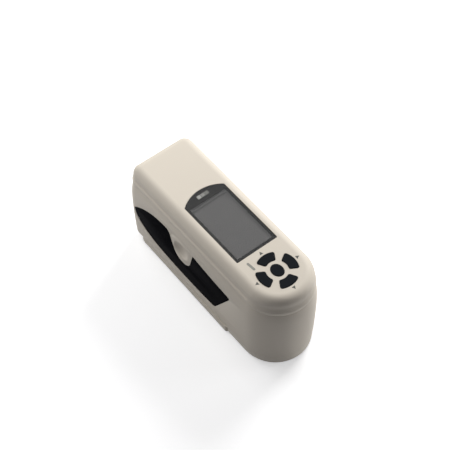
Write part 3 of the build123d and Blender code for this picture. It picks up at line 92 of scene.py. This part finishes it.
ON_MARK = (0.4 * MM, 2.6 * MM)  # width and height of the bar
BOARD_TRACK_GRID = 8 * MM

COLOUR = {"subtype": "COLOR", "size": 4, "min": 0.0, "max": 1.0}
LENGTH = {"unit": "LENGTH", "min": 0.0, "precision": 5}
ANGLE = {"subtype": "ANGLE"}


def linear(hex_colour):
    """sRGB hex colour as the linear RGBA that shaders and colour settings hold."""
    channels = [int(hex_colour[i:i + 2], 16) / 255 for i in (1, 3, 5)]
    return (*[c / 12.92 if c <= 0.04045 else ((c + 0.055) / 1.055) ** 2.4 for c in channels], 1.0)


# ---------------------------------------------------------------- settings


class ShellSettings(bpy.types.PropertyGroup):
    """Beige mouldings."""

    colour: FloatVectorProperty(
        name="Shell colour", description="Warm light grey of the housing, cover and base",
        default=linear("#E0D7C8"), **COLOUR,
    )
    grain: FloatProperty(
        name="Grain", description="Spacing of the moulded texture", default=0.5 * MM, **LENGTH,
    )
    grain_depth: FloatProperty(
        name="Grain depth", description="Depth of the moulded texture", default=0.012 * MM, **LENGTH,
    )
    edge: FloatProperty(
        name="Edge radius", description="Rounding of every moulded edge", default=0.25 * MM, **LENGTH,
    )


class GripSettings(bpy.types.PropertyGroup):
    """Black soft-touch inlays and rubber feet."""

    colour: FloatVectorProperty(
        name="Grip colour", description="Near-black of the inlays", default=linear("#08080B"), **COLOUR,
    )
    foot_colour: FloatVectorProperty(
        name="Foot colour", description="Black of the rubber feet", default=linear("#1A1A1B"), **COLOUR,
    )
    grain: FloatProperty(
        name="Grain", description="Spacing of the fine skin of the grips", default=0.4 * MM, **LENGTH,
    )


class DisplaySettings(bpy.types.PropertyGroup):
    """Window, printed border and liquid crystal display."""

    border_colour: FloatVectorProperty(
        name="Border colour", description="Ink printed behind the window",
        default=linear("#121211"), **COLOUR,
    )
    screen_colour: FloatVectorProperty(
        name="Screen colour", description="Grey of the display when it is off",
        default=linear("#424140"), **COLOUR,
    )
    line_colour: FloatVectorProperty(
        name="Line colour", description="Fine line across the top of the display",
        default=linear("#1C1C1B"), **COLOUR,
    )
    line_width: FloatProperty(
        name="Line width", description="Width of that line", default=1.5 * MM, **LENGTH,
    )
    patch: FloatProperty(
        name="Grey patch", description="Side of the three grey patches in the arch",
        default=3.6 * MM, **LENGTH,
    )


class KeypadSettings(bpy.types.PropertyGroup):
    """Five keys, their printed marks and the status light."""

    colour: FloatVectorProperty(
        name="Key colour", description="Charcoal of the keytops", default=linear("#0E1216"), **COLOUR,
    )
    mark_colour: FloatVectorProperty(
        name="Mark colour", description="Grey ink of the triangles round the keys",
        default=linear("#4A4A43"), **COLOUR,
    )
    mark: FloatProperty(
        name="Mark size", description="Side of the printed triangles", default=3.6 * MM, **LENGTH,
    )
    mark_circle: FloatProperty(
        name="Mark circle", description="Distance of the triangles from the centre key",
        default=21.6 * MM, **LENGTH,
    )


class FittingSettings(bpy.types.PropertyGroup):
    """Black fittings, sockets and screws, and everything inside."""

    black: FloatVectorProperty(
        name="Black plastic", description="Port panel, cap, nose and sockets",
        default=linear("#1C1C1E"), **COLOUR,
    )
    print_colour: FloatVectorProperty(
        name="Port print", description="Light ink on the port panel", default=linear("#B8B8B2"), **COLOUR,
    )
    solder_mask: FloatVectorProperty(
        name="Solder mask", description="Green lacquer of the circuit boards",
        default=linear("#1E5A32"), **COLOUR,
    )
    edge: FloatProperty(
        name="Edge radius", description="Rounding of the small fittings", default=0.12 * MM, **LENGTH,
    )
    spring_wire: FloatProperty(
        name="Spring wire", description="Radius of the return spring's wire", default=0.3 * MM, **LENGTH,
    )
    spring_turns: FloatProperty(
        name="Spring turns", description="Turns of the return spring", default=3.5, min=1,
    )


class StageSettings(bpy.types.PropertyGroup):
    """Floor, lamps and camera."""

    floor_colour: FloatVectorProperty(
        name="Floor", description="Colour of the floor where it is seen",
        default=linear("#F4F4F4"), **COLOUR,
    )
    floor_bounce: FloatVectorProperty(
        name="Floor bounce", description="Colour of the light that the floor throws back at the object",
        default=linear("#B6B7BA"), **COLOUR,
    )
    floor_glow: FloatProperty(
        name="Floor glow", description="Light added where the floor is seen", default=0.5, min=0,
    )
    azimuth: FloatProperty(
        name="Camera azimuth", description="0 looks along +Y, 90 along -X",
        default=radians(-37.8), **ANGLE,
    )
    elevation: FloatProperty(
        name="Camera elevation", description="Above the horizon", default=radians(54.4), **ANGLE,
    )
    roll: FloatProperty(name="Camera roll", description="Tilt of the horizon", default=radians(-0.7), **ANGLE)
    distance: FloatProperty(
        name="Camera distance", description="From the point it aims at", default=1.192, **LENGTH,
    )
    aim: FloatVectorProperty(
        name="Camera aim", description="Point at the middle of the frame", subtype="XYZ", unit="LENGTH",
        size=3, default=(11.2 * MM, 17.4 * MM, 61.8 * MM),
    )
    lens: FloatProperty(name="Lens", description="Focal length in millimetres", default=107.3, min=10)


# ---------------------------------------------------------------- shared helpers


def add_node(tree, kind, settings=(), values=(), links=()):
    """Adds a shader node with its settings, socket values and incoming links, and returns it."""
    node = tree.nodes.new(kind)
    for name, value in dict(settings).items():
        setattr(node, name, value)
    for socket, value in dict(values).items():
        node.inputs[socket].default_value = value
    for socket, source in dict(links).items():
        tree.links.new(source, node.inputs[socket])
    return node


def new_material(name, colour, roughness, values=()):
    """Material with one Principled shader, called Finish in its node tree, and an output, called Output."""
    material = bpy.data.materials.new(name)
    material.use_nodes = True
    tree = material.node_tree
    tree.nodes.clear()
    values = {"Base Color": colour, "Roughness": roughness, **dict(values)}
    finish = add_node(tree, "ShaderNodeBsdfPrincipled", {"name": "Finish"}, values)
    add_node(tree, "ShaderNodeOutputMaterial", {"name": "Output"}, links={"Surface": finish.outputs["BSDF"]})
    return material


def grain(material, spacing, depth):
    """Fine random relief: a moulded, blasted or cast skin with that spacing and depth in metres."""
    tree = material.node_tree
    place = add_node(tree, "ShaderNodeTexCoord").outputs["Object"]
    pits = add_node(
        tree, "ShaderNodeTexNoise",
        values={"Scale": 1 / spacing, "Detail": 2.0, "Roughness": 0.5}, links={"Vector": place},
    )
    relief = add_node(
        tree, "ShaderNodeBump",
        values={"Strength": 1.0, "Distance": depth}, links={"Height": pits.outputs["Fac"]},
    )
    tree.links.new(relief.outputs["Normal"], tree.nodes["Finish"].inputs["Normal"])


def drift(material, colour, amount, spacing, roughness=None):
    """Lets the colour, and the roughness where a (low, high) pair is given, wander over the surface."""
    tree = material.node_tree
    finish = tree.nodes["Finish"]
    place = add_node(tree, "ShaderNodeTexCoord").outputs["Object"]
    cloud = add_node(
        tree, "ShaderNodeTexNoise",
        values={"Scale": 1 / spacing, "Detail": 3.0, "Roughness": 0.6}, links={"Vector": place},
    ).outputs["Fac"]
    tones = add_node(
        tree, "ShaderNodeMix", settings={"data_type": "RGBA"}, links={"Factor": cloud},
    )
    tones.inputs["A"].default_value = shade(colour, 1 - amount)
    tones.inputs["B"].default_value = shade(colour, 1 + amount)
    tree.links.new(tones.outputs["Result"], finish.inputs["Base Color"])
    if roughness:
        gloss = add_node(
            tree, "ShaderNodeMapRange",
            values={"To Min": roughness[0], "To Max": roughness[1]}, links={"Value": cloud},
        )
        tree.links.new(gloss.outputs["Result"], finish.inputs["Roughness"])


def mix_by(tree, factor, first, second):
    """Shader that goes from the first to the second as the factor goes from 0 to 1."""
    mixed = add_node(tree, "ShaderNodeMixShader", links={"Fac": factor, 1: first, 2: second})
    return mixed.outputs["Shader"]


def shade(colour, factor):
    """The same colour, lighter or darker."""
    return (*[min(1.0, channel * factor) for channel in colour[:3]], 1.0)


def dress(material, *names):
    for name in names:
        node = NODES[name]
        node.data.materials.clear()
        node.data.materials.append(material)


def soften(radius, *names):
    """Rounds every corner edge of CAD nodes by radius, as a mould or a cutter leaves it."""
    for name in names:
        node = NODES[name]
        weld = node.modifiers.new("Join faces", "WELD")
        weld.merge_threshold = 0.001 * MM
        bevel = node.modifiers.new("Fine edges", "BEVEL")
        bevel.width = radius
        bevel.segments = 2
        bevel.limit_method = "ANGLE"
        bevel.angle_limit = CREASE
        bevel.harden_normals = True


def new_piece(name, mesh, material, body=INSTRUMENT):
    """Links a finished bmesh as a piece of the object that rides on a body."""
    data = bpy.data.meshes.new(name)
    mesh.to_mesh(data)
    mesh.free()
    data.materials.append(material)
    piece = bpy.data.objects.new(name, data)
    bpy.context.scene.collection.objects.link(piece)
    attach(piece, body)
    return piece


def prism(mesh, outline, height, place):
    """Adds an upright prism of an (x, y) outline to a bmesh and puts it in its place."""
    foot = [mesh.verts.new(place @ Vector((x, y, 0))) for x, y in outline]
    head = [mesh.verts.new(place @ Vector((x, y, height))) for x, y in outline]
    mesh.faces.new(reversed(foot))
    mesh.faces.new(head)
    for i in range(len(outline)):
        j = (i + 1) % len(outline)
        mesh.faces.new((foot[i], foot[j], head[j], head[i]))


def ring(mesh, outer, inner, height, place, steps=32):
    """Adds a flat ring to a bmesh and puts it in its place."""
    turns = [2 * pi * i / steps for i in range(steps)]
    loops = [
        [mesh.verts.new(place @ Vector((r * cos(t), r * sin(t), z))) for t in turns]
        for r, z in ((outer, 0), (outer, height), (inner, height), (inner, 0))
    ]
    for i in range(steps):
        j = (i + 1) % steps
        for a, b in zip(loops, loops[1:] + loops[:1]):
            mesh.faces.new((a[i], a[j], b[j], b[i]))


def coil(mesh, start, length, radius, wire, turns, steps=32, sides=10):
    """Adds round wire to a bmesh, wound to the right round a line that runs along +X from start."""
    loops = []
    for i in range(round(turns * steps) + 1):
        turn = 2 * pi * i / steps
        out = Vector((0, -sin(turn), cos(turn)))
        along = Vector((length / (2 * pi * turns), -radius * cos(turn), -radius * sin(turn))).normalized()
        across = along.cross(out)
        centre = start + Vector((length * i / (turns * steps), 0, 0)) + radius * out
        angles = [2 * pi * k / sides for k in range(sides)]
        loops.append([mesh.verts.new(centre + wire * (cos(a) * out + sin(a) * across)) for a in angles])
    mesh.faces.new(reversed(loops[0]))
    mesh.faces.new(loops[-1])
    for a, b in zip(loops, loops[1:]):
        for k in range(sides):
            m = (k + 1) % sides
            mesh.faces.new((a[k], a[m], b[m], b[k])).smooth = True


def rectangle(width, depth):
    """Outline of a rectangle about the origin."""
    x, y = width / 2, depth / 2
    return [(-x, -y), (x, -y), (x, y), (-x, y)]


def triangle(side):
    """Outline of a triangle that points along +X, about its middle."""
    height = side * 3 ** 0.5 / 2
    return [(-height / 3, -side / 2), (2 * height / 3, 0), (-height / 3, side / 2)]


# ---------------------------------------------------------------- the object's pieces


class COLORIMETER_OT_shells(bpy.types.Operator):
    """Finish the beige mouldings: cover, housing, base, battery door, thumb key and finger rest"""

    bl_idname = "colorimeter.shells"
    bl_label = "Beige shells"

    def execute(self, context):
        settings = context.scene.colorimeter_shells
        # ABS, injection moulded in a spark-eroded tool: an even fine grain that breaks up reflections, so
        # the surface looks matt with one broad soft highlight. The real grain of about 0.1 mm is drawn
        # coarser so that it shows.
        abs_plastic = new_material(
            "Grained ABS", settings.colour, 0.55, {"IOR": 1.54, "Specular IOR Level": 0.3},
        )
        drift(abs_plastic, settings.colour, 0.012, 45 * MM, roughness=(0.5, 0.6))
        grain(abs_plastic, settings.grain, settings.grain_depth)
        shells = (
            "top_cover", "main_housing", "base_plate", "battery_door", "measure_key", "finger_rest",
        )
        dress(abs_plastic, *shells)
        soften(settings.edge, *shells)
        # The same moulding, raised by 0.3 mm where the thumb pushes the battery door open.
        arrow = bmesh.new()
        place = Matrix.Translation((0, DOOR_HIGH.y - DOOR_ARROW_INSET, DOOR_LOW.z + DOOR_ARROW_ROOT))
        turn = Matrix.Rotation(pi / 2, 4, "Z") @ Matrix.Rotation(pi, 4, "X")
        prism(arrow, triangle(DOOR_ARROW), DOOR_ARROW_RISE, place @ turn)
        new_piece("door_arrow", arrow, abs_plastic, "door")
        return {"FINISHED"}


class COLORIMETER_OT_grips(bpy.types.Operator):
    """Finish the black grip inlays and the rubber feet"""

    bl_idname = "colorimeter.grips"
    bl_label = "Grips and feet"

    def execute(self, context):
        settings = context.scene.colorimeter_grips
        # Thermoplastic rubber, moulded over the housing: dead matt and close to black, with only a faint
        # grey bloom where light grazes it.
        rubber = new_material(
            "Soft-touch rubber", settings.colour, 0.75, {"IOR": 1.5, "Specular IOR Level": 0.01},
        )
        grain(rubber, settings.grain, 0.012 * MM)
        dress(rubber, "left_grip_inlay", "right_grip_inlay")
        soften(0.2 * MM, "left_grip_inlay", "right_grip_inlay")
        # Cast polyurethane rubber: smooth skin with a dull sheen.
        foot = new_material("Polyurethane rubber", settings.foot_colour, 0.5, {"IOR": 1.5})
        grain(foot, 0.8 * MM, 0.01 * MM)
        dress(foot, "rubber_feet")
        return {"FINISHED"}


class COLORIMETER_OT_display(bpy.types.Operator):
    """Finish the display: window, printed border, screen, frame and the marks on them"""

    bl_idname = "colorimeter.display"
    bl_label = "Display"

    def execute(self, context):
        settings = context.scene.colorimeter_display
        # Acrylic sheet, extruded and laser cut: clear with a sharp gloss. Light reaches the display
        # through it, so shadow rays and scattered light pass straight on.
        acrylic = new_material(
            "Clear acrylic", (1, 1, 1, 1), 0.03, {"IOR": 1.49, "Transmission Weight": 1.0},
        )
        tree = acrylic.node_tree
        clear = tree.nodes["Finish"].outputs["BSDF"]
        passing = add_node(tree, "ShaderNodeBsdfTransparent").outputs["BSDF"]
        rays = add_node(tree, "ShaderNodeLightPath").outputs
        straight = add_node(
            tree, "ShaderNodeMath", settings={"operation": "MAXIMUM"},
            links={0: rays["Is Shadow Ray"], 1: rays["Is Diffuse Ray"]},
        ).outputs["Value"]
        tree.links.new(mix_by(tree, straight, clear, passing), tree.nodes["Output"].inputs["Surface"])
        dress(acrylic, "display_window")
        # Screen-printed ink on the back of the window: flat and even, seen through the gloss above it.
        ink = new_material(
            "Screen-printed ink", settings.border_colour, 0.5, {"IOR": 1.5, "Specular IOR Level": 0.1},
        )
        dress(ink, "display_mask")
        # Polariser film over display glass, switched off: a plain grey with a satin face.
        film = new_material(
            "Polariser film", settings.screen_colour, 0.35, {"IOR": 1.5, "Specular IOR Level": 0.1},
        )
        drift(film, settings.screen_colour, 0.02, 30 * MM)
        dress(film, "lcd_panel")
        # Black polycarbonate frame, moulded with a smooth finish.
        frame_plastic = new_material("Smooth polycarbonate", linear("#2B2B2A"), 0.4)
        dress(frame_plastic, "lcd_frame")
        # A dark line drawn across the top of the display.
        line_material = new_material(
            "Display line", settings.line_colour, 0.4, {"Specular IOR Level": 0.05},
        )
        line = bmesh.new()
        place = Matrix.Translation((0, DISPLAY_LINE_Y, SCREEN_TOP))
        prism(line, rectangle(DISPLAY_LINE_LENGTH, settings.line_width), INK, place)
        new_piece("display_line", line, line_material)
        for index, hex_colour in enumerate(PATCH_COLOURS):
            patch_ink = new_material(f"Grey patch {index + 1}", linear(hex_colour), 0.5)
            patch = bmesh.new()
            step = (index - 1) * (settings.patch + PATCH_GAP)
            place = Matrix.Translation((step, ARCH_BACK - PATCH_INSET, MASK_TOP - 0.9 * INK))
            prism(patch, rectangle(settings.patch, settings.patch), INK, place)
            new_piece(f"grey_patch_{index + 1}", patch, patch_ink)
        return {"FINISHED"}


class COLORIMETER_OT_keypad(bpy.types.Operator):
    """Finish the keys, their mat and status light, and print the triangles round them"""

    bl_idname = "colorimeter.keypad"
    bl_label = "Keypad"

    def execute(self, context):
        settings = context.scene.colorimeter_keypad
        # ABS keytops, painted charcoal: satin, with a soft highlight along their rounded edges.
        keytop = new_material(
            "Painted keytop", settings.colour, 0.42, {"IOR": 1.5, "Specular IOR Level": 0.06},
        )
        drift(keytop, settings.colour, 0.04, 12 * MM, roughness=(0.38, 0.48))
        dress(keytop, *ARROW_KEYS, "key_centre")
        # Silicone rubber, compression moulded: matt and slightly chalky.
        silicone = new_material("Moulded silicone", linear("#8E8E8C"), 0.65, {"IOR": 1.43})
        dress(silicone, "keypad_mat")
        # Frosted polycarbonate: a grey window in the cover that lights up from behind.
        diffuser = new_material(
            "Frosted polycarbonate", linear("#8B8B82"), 0.4, {"IOR": 1.58},
        )
        dress(diffuser, "status_light_pipe", "status_led", "lamp_led")
        # Pad-printed ink, a grey that stands just above the grain.
        ink = new_material("Pad-printed ink", settings.mark_colour, 0.55)
        marks = bmesh.new()
        for angle in ARROW_KEYS.values():
            turn = Matrix.Rotation(radians(angle), 4, "Z")
            out = Matrix.Translation((settings.mark_circle, 0, 0))
            place = Matrix.Translation((0, TOWER_Y, COVER_TOP)) @ turn @ out
            prism(marks, triangle(settings.mark), INK, place)
        new_piece("key_marks", marks, ink)
        return {"FINISHED"}


class COLORIMETER_OT_measuring_end(bpy.types.Operator):
    """Finish the measuring tower: nose, cap, tile, sphere, lamp and sensor"""

    bl_idname = "colorimeter.measuring_end"
    bl_label = "Measuring end"

    def execute(self, context):
        settings = context.scene.colorimeter_fittings
        # Black ABS in a blasted mould: charcoal with a dull even sheen.
        black = new_material("Black ABS", settings.black, 0.5, {"IOR": 1.54})
        grain(black, 0.5 * MM, 0.012 * MM)
        black_parts = ("measuring_nose", "calibration_cap", "tower_floor", "lamp_housing", "sensor_tube")
        dress(black, *black_parts)
        soften(settings.edge, "measuring_nose", "calibration_cap", "tower_floor")
        # Barium sulphate paint, sprayed: the whitest and most matt surface of the instrument.
        coating = new_material(
            "Barium sulphate paint", linear("#F6F6F4"), 0.95, {"Specular IOR Level": 0.1},
        )
        grain(coating, 0.6 * MM, 0.02 * MM)
        dress(coating, "sphere_lower", "sphere_upper", "baffle")
        # Glazed ceramic: white body under a wet-looking glaze.
        glaze = new_material("Glazed ceramic", linear("#F2F2EE"), 0.12, {"IOR": 1.52})
        dress(glaze, "white_tile")
        # Polished optical glass.
        glass = new_material(
            "Optical glass", (1, 1, 1, 1), 0.02, {"IOR": 1.52, "Transmission Weight": 1.0},
        )
        dress(glass, "dust_glass", "sensor_lens")
        return {"FINISHED"}


class COLORIMETER_OT_back_panel(bpy.types.Operator):
    """Finish the port panel, its sockets and the power switch, and print the switch's marks"""

    bl_idname = "colorimeter.back_panel"
    bl_label = "Back panel"

    def execute(self, context):
        settings = context.scene.colorimeter_fittings
        # Black nylon, moulded in a fine-blasted tool.
        nylon = new_material("Black nylon", settings.black, 0.55, {"IOR": 1.53})
        grain(nylon, 0.5 * MM, 0.012 * MM)
        dress(nylon, "port_panel", "power_switch_slider", "power_switch_body", "dc_socket", "buzzer")
        dress(nylon, "measure_switch", "key_switches")
        soften(settings.edge, "port_panel", "power_switch_slider")
        # Tin-plated steel, stamped and folded: bright, with a slightly cloudy reflection.
        tin = new_material("Tin-plated steel", linear("#B9B9BB"), 0.28, {"Metallic": 1.0})
        dress(tin, "usb_socket")
        ink = new_material("Port ink", settings.print_colour, 0.55)
        switch_z = (SLIDER_LOW.z + SLIDER_HIGH.z) / 2
        face = Matrix.Rotation(-pi / 2, 4, "X")
        marks = bmesh.new()
        ring(marks, *OFF_MARK, INK, Matrix.Translation((-SWITCH_MARK_X, PANEL_FACE, switch_z)) @ face)
        place = Matrix.Translation((SWITCH_MARK_X, PANEL_FACE, switch_z)) @ face
        prism(marks, rectangle(*ON_MARK), INK, place)
        new_piece("switch_marks", marks, ink)
        return {"FINISHED"}


class COLORIMETER_OT_return_spring(bpy.types.Operator):
    """Wind the measure key's return spring"""

    bl_idname = "colorimeter.return_spring"
    bl_label = "Return spring"

    def execute(self, context):
        settings = context.scene.colorimeter_fittings
        low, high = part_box("measure_key_spring")
        middle = (low + high) / 2
        start = Vector((low.x + settings.spring_wire, middle.y, middle.z))
        winding = bmesh.new()
        coil(
            winding, start, length=high.x - low.x - 2 * settings.spring_wire,
            radius=(high.z - low.z) / 2 - settings.spring_wire,
            wire=settings.spring_wire, turns=settings.spring_turns,
        )
        # Spring wire, drawn and passivated.
        wire = new_material("Spring wire", linear("#A9A9AD"), 0.22, {"Metallic": 1.0})
        spring = new_piece("return_spring", winding, wire)
        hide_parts("measure_key_spring")
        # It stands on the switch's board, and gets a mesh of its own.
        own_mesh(spring)
        return {"FINISHED"}


class COLORIMETER_OT_insides(bpy.types.Operator):
    """Finish the circuit boards, ribbons, battery and screws"""

    bl_idname = "colorimeter.insides"
    bl_label = "Inside parts"

    def execute(self, context):
        settings = context.scene.colorimeter_fittings
        # Solder mask over copper on glass fibre: glossy green, lighter where tracks run under it. Tracks
        # are drawn 0.8 mm wide so that they show.
        board = new_material("Solder mask", settings.solder_mask, 0.25, {"IOR": 1.52})
        tree = board.node_tree
        place = add_node(tree, "ShaderNodeTexCoord").outputs["Object"]
        tracks = add_node(
            tree, "ShaderNodeTexBrick", settings={"offset": 0.35},
            values={
                "Scale": 1 / BOARD_TRACK_GRID, "Mortar Size": 0.09, "Color1": settings.solder_mask,
                "Color2": shade(settings.solder_mask, 0.85), "Mortar": shade(settings.solder_mask, 1.9),
            },
            links={"Vector": place},
        )
        tree.links.new(tracks.outputs["Color"], tree.nodes["Finish"].inputs["Base Color"])
        dress(board, "measure_board", "key_board", "main_board", "lamp_board", "sensor_board", "port_board")
        # Epoxy chip housings, transfer moulded: matt black.
        epoxy = new_material("Epoxy moulding", linear("#17171A"), 0.6, {"IOR": 1.55})
        grain(epoxy, 0.4 * MM, 0.01 * MM)
        dress(epoxy, "board_components", "colour_sensor")
        # Polyimide film with copper inside: glossy amber.
        polyimide = new_material("Polyimide film", linear("#C8862E"), 0.3, {"IOR": 1.7})
        dress(polyimide, "display_ribbon", "keypad_ribbon")
        # Shrink-wrapped cells: a tight glossy film.
        blue = linear("#27509C")
        wrap = new_material("Shrink wrap", blue, 0.2, {"IOR": 1.5})
        drift(wrap, blue, 0.06, 18 * MM, roughness=(0.15, 0.3))
        dress(wrap, "battery_pack")
        # Phosphor bronze strip with a nickel flash.
        bronze = new_material("Phosphor bronze", linear("#D2B070"), 0.3, {"Metallic": 1.0})
        dress(bronze, "battery_contacts")
        # Soft PVC insulation, extruded.
        pvc = new_material("PVC insulation", linear("#A82222"), 0.4, {"IOR": 1.53})
        dress(pvc, "battery_leads")
        # Zinc-plated steel, barrel plated: bluish bright with small variations.
        plating = linear("#B4B7BA")
        zinc = new_material("Zinc-plated steel", plating, 0.32, {"Metallic": 1.0})
        drift(zinc, plating, 0.05, 2 * MM, roughness=(0.25, 0.42))
        dress(zinc, "board_screws", "cover_screws", "base_screws", "floor_screws", "sphere_screws")
        return {"FINISHED"}


# ---------------------------------------------------------------- the stage


FLOOR_HALF_SIZE = 4  # metres
OBJECT_MIDDLE = (0, 0, 0.05)
LAMPS = (  # name, place, aim, size and watts
    ("top_box", (-0.1, 0.5, 0.7), OBJECT_MIDDLE, 0.45, 2.6),
    ("left_box", (-0.45, 0.45, 0.35), (0, 0.07, 0.05), 0.3, 0.68),
    ("right_box", (1.0, 0.3, 0.8), OBJECT_MIDDLE, 0.6, 12.5),
    ("rim_box", (0.95, -0.6, 0.2), (0, -0.07, 0.05), 0.4, 3.2),
)
DIM_COLOUR = (0.98, 0.97, 1.03, 1)  # light of the room on the object
DIM_STRENGTH = 0.118


def area_lamp(name, place, aim, size, watts):
    """Square soft box that looks from place to aim."""
    data = bpy.data.lights.new(name, "AREA")
    data.size = size
    data.energy = watts
    lamp = bpy.data.objects.new(name, data)
    lamp.location = place
    lamp.rotation_euler = (Vector(aim) - Vector(place)).to_track_quat("-Z", "Y").to_euler()
    bpy.context.scene.collection.objects.link(lamp)
    return lamp


def seen_directly(tree):
    """1 for rays of the camera, of a reflection or through glass, and 0 once light has been scattered."""
    rays = add_node(tree, "ShaderNodeLightPath").outputs
    seen = add_node(
        tree, "ShaderNodeMath", settings={"operation": "MAXIMUM"},
        links={0: rays["Is Camera Ray"], 1: rays["Is Glossy Ray"]},
    ).outputs["Value"]
    through = add_node(
        tree, "ShaderNodeMath", settings={"operation": "MAXIMUM"},
        links={0: seen, 1: rays["Is Transmission Ray"]},
    ).outputs["Value"]
    unscattered = add_node(
        tree, "ShaderNodeMath", settings={"operation": "LESS_THAN"}, values={1: 0.5},
        links={0: rays["Diffuse Depth"]},
    ).outputs["Value"]
    both = add_node(
        tree, "ShaderNodeMath", settings={"operation": "MULTIPLY"}, links={0: through, 1: unscattered},
    )
    return both.outputs["Value"]


class COLORIMETER_OT_stage(bpy.types.Operator):
    """Set up the camera, a pale floor, soft lamps and the world round the object"""

    bl_idname = "colorimeter.stage"
    bl_label = "Studio"

    def execute(self, context):
        settings = context.scene.colorimeter_stage
        scene = context.scene
        scene.view_settings.view_transform = "Standard"

        a, e = settings.azimuth, settings.elevation
        back = Vector((sin(a) * cos(e), -cos(a) * cos(e), sin(e)))
        camera_data = bpy.data.cameras.new("Camera")
        camera_data.lens = settings.lens
        camera_data.sensor_width = 36
        camera = bpy.data.objects.new("Camera", camera_data)
        camera.location = Vector(settings.aim) + back * settings.distance
        level = (-back).to_track_quat("-Z", "Y").to_matrix().to_4x4()
        camera.rotation_euler = (level @ Matrix.Rotation(settings.roll, 4, "Z")).to_euler()
        scene.collection.objects.link(camera)
        scene.camera = camera

        # Matt paper: white where the camera or a reflection sees it, mid grey for the light it bounces
        # back, so that the sides of the object keep their shading.
        paper = new_material("Matt paper", settings.floor_bounce, 0.9, {"Specular IOR Level": 0.0})
        tree = paper.node_tree
        bounce = tree.nodes["Finish"].outputs["BSDF"]
        white = add_node(
            tree, "ShaderNodeBsdfPrincipled",
            values={
                "Base Color": settings.floor_colour, "Roughness": 0.9, "Specular IOR Level": 0.0,
                "Emission Color": (1, 1, 1, 1), "Emission Strength": settings.floor_glow,
            },
        ).outputs["BSDF"]
        face = mix_by(tree, seen_directly(tree), bounce, white)
        tree.links.new(face, tree.nodes["Output"].inputs["Surface"])
        sheet = bmesh.new()
        bmesh.ops.create_grid(sheet, x_segments=1, y_segments=1, size=FLOOR_HALF_SIZE)
        data = bpy.data.meshes.new("floor")
        sheet.to_mesh(data)
        sheet.free()
        data.materials.append(paper)
        floor = bpy.data.objects.new("floor", data)
        scene.collection.objects.link(floor)

        for lamp in LAMPS:
            area_lamp(*lamp)

        world = bpy.data.worlds.new("Studio")
        world.use_nodes = True
        tree = world.node_tree
        tree.nodes.clear()
        dim = add_node(
            tree, "ShaderNodeBackground", values={"Color": DIM_COLOUR, "Strength": DIM_STRENGTH},
        ).outputs["Background"]
        white = add_node(
            tree, "ShaderNodeBackground", values={"Color": (1, 1, 1, 1), "Strength": 1.0},
        ).outputs["Background"]
        surroundings = mix_by(tree, seen_directly(tree), dim, white)
        add_node(tree, "ShaderNodeOutputWorld", links={"Surface": surroundings})
        scene.world = world
        return {"FINISHED"}


# ---------------------------------------------------------------- the panel and the run


SETTINGS = {
    "colorimeter_shells": ShellSettings,
    "colorimeter_grips": GripSettings,
    "colorimeter_display": DisplaySettings,
    "colorimeter_keypad": KeypadSettings,
    "colorimeter_fittings": FittingSettings,
    "colorimeter_stage": StageSettings,
}
OPERATORS = (
    COLORIMETER_OT_stage,
    COLORIMETER_OT_shells,
    COLORIMETER_OT_grips,
    COLORIMETER_OT_display,
    COLORIMETER_OT_keypad,
    COLORIMETER_OT_measuring_end,
    COLORIMETER_OT_back_panel,
    COLORIMETER_OT_return_spring,
    COLORIMETER_OT_insides,
)


class COLORIMETER_PT_looks(bpy.types.Panel):
    """Lists the pieces and the studio with their settings"""

    bl_label = "Portable colorimeter"
    bl_idname = "COLORIMETER_PT_looks"
    bl_space_type = "VIEW_3D"
    bl_region_type = "UI"
    bl_category = "Colorimeter"

    def draw(self, context):
        for operator in OPERATORS:
            self.layout.operator(operator.bl_idname)
        for name, settings in SETTINGS.items():
            box = self.layout.box()
            box.label(text=settings.__doc__)
            for setting in settings.__annotations__:
                box.prop(getattr(context.scene, name), setting)


def register():
    for name, settings in SETTINGS.items():
        bpy.utils.register_class(settings)
        setattr(bpy.types.Scene, name, PointerProperty(type=settings))
    for operator in OPERATORS:
        bpy.utils.register_class(operator)
    bpy.utils.register_class(COLORIMETER_PT_looks)


def unregister():
    bpy.utils.unregister_class(COLORIMETER_PT_looks)
    for operator in reversed(OPERATORS):
        bpy.utils.unregister_class(operator)
    for name, settings in reversed(SETTINGS.items()):
        delattr(bpy.types.Scene, name)
        bpy.utils.unregister_class(settings)


def main():
    """Dresses the model and its studio."""
    register()
    bpy.ops.colorimeter.stage()
    bpy.ops.colorimeter.shells()
    bpy.ops.colorimeter.grips()
    bpy.ops.colorimeter.display()
    bpy.ops.colorimeter.keypad()
    bpy.ops.colorimeter.measuring_end()
    bpy.ops.colorimeter.back_panel()
    bpy.ops.colorimeter.return_spring()
    bpy.ops.colorimeter.insides()


if __name__ == "__main__":
    main()
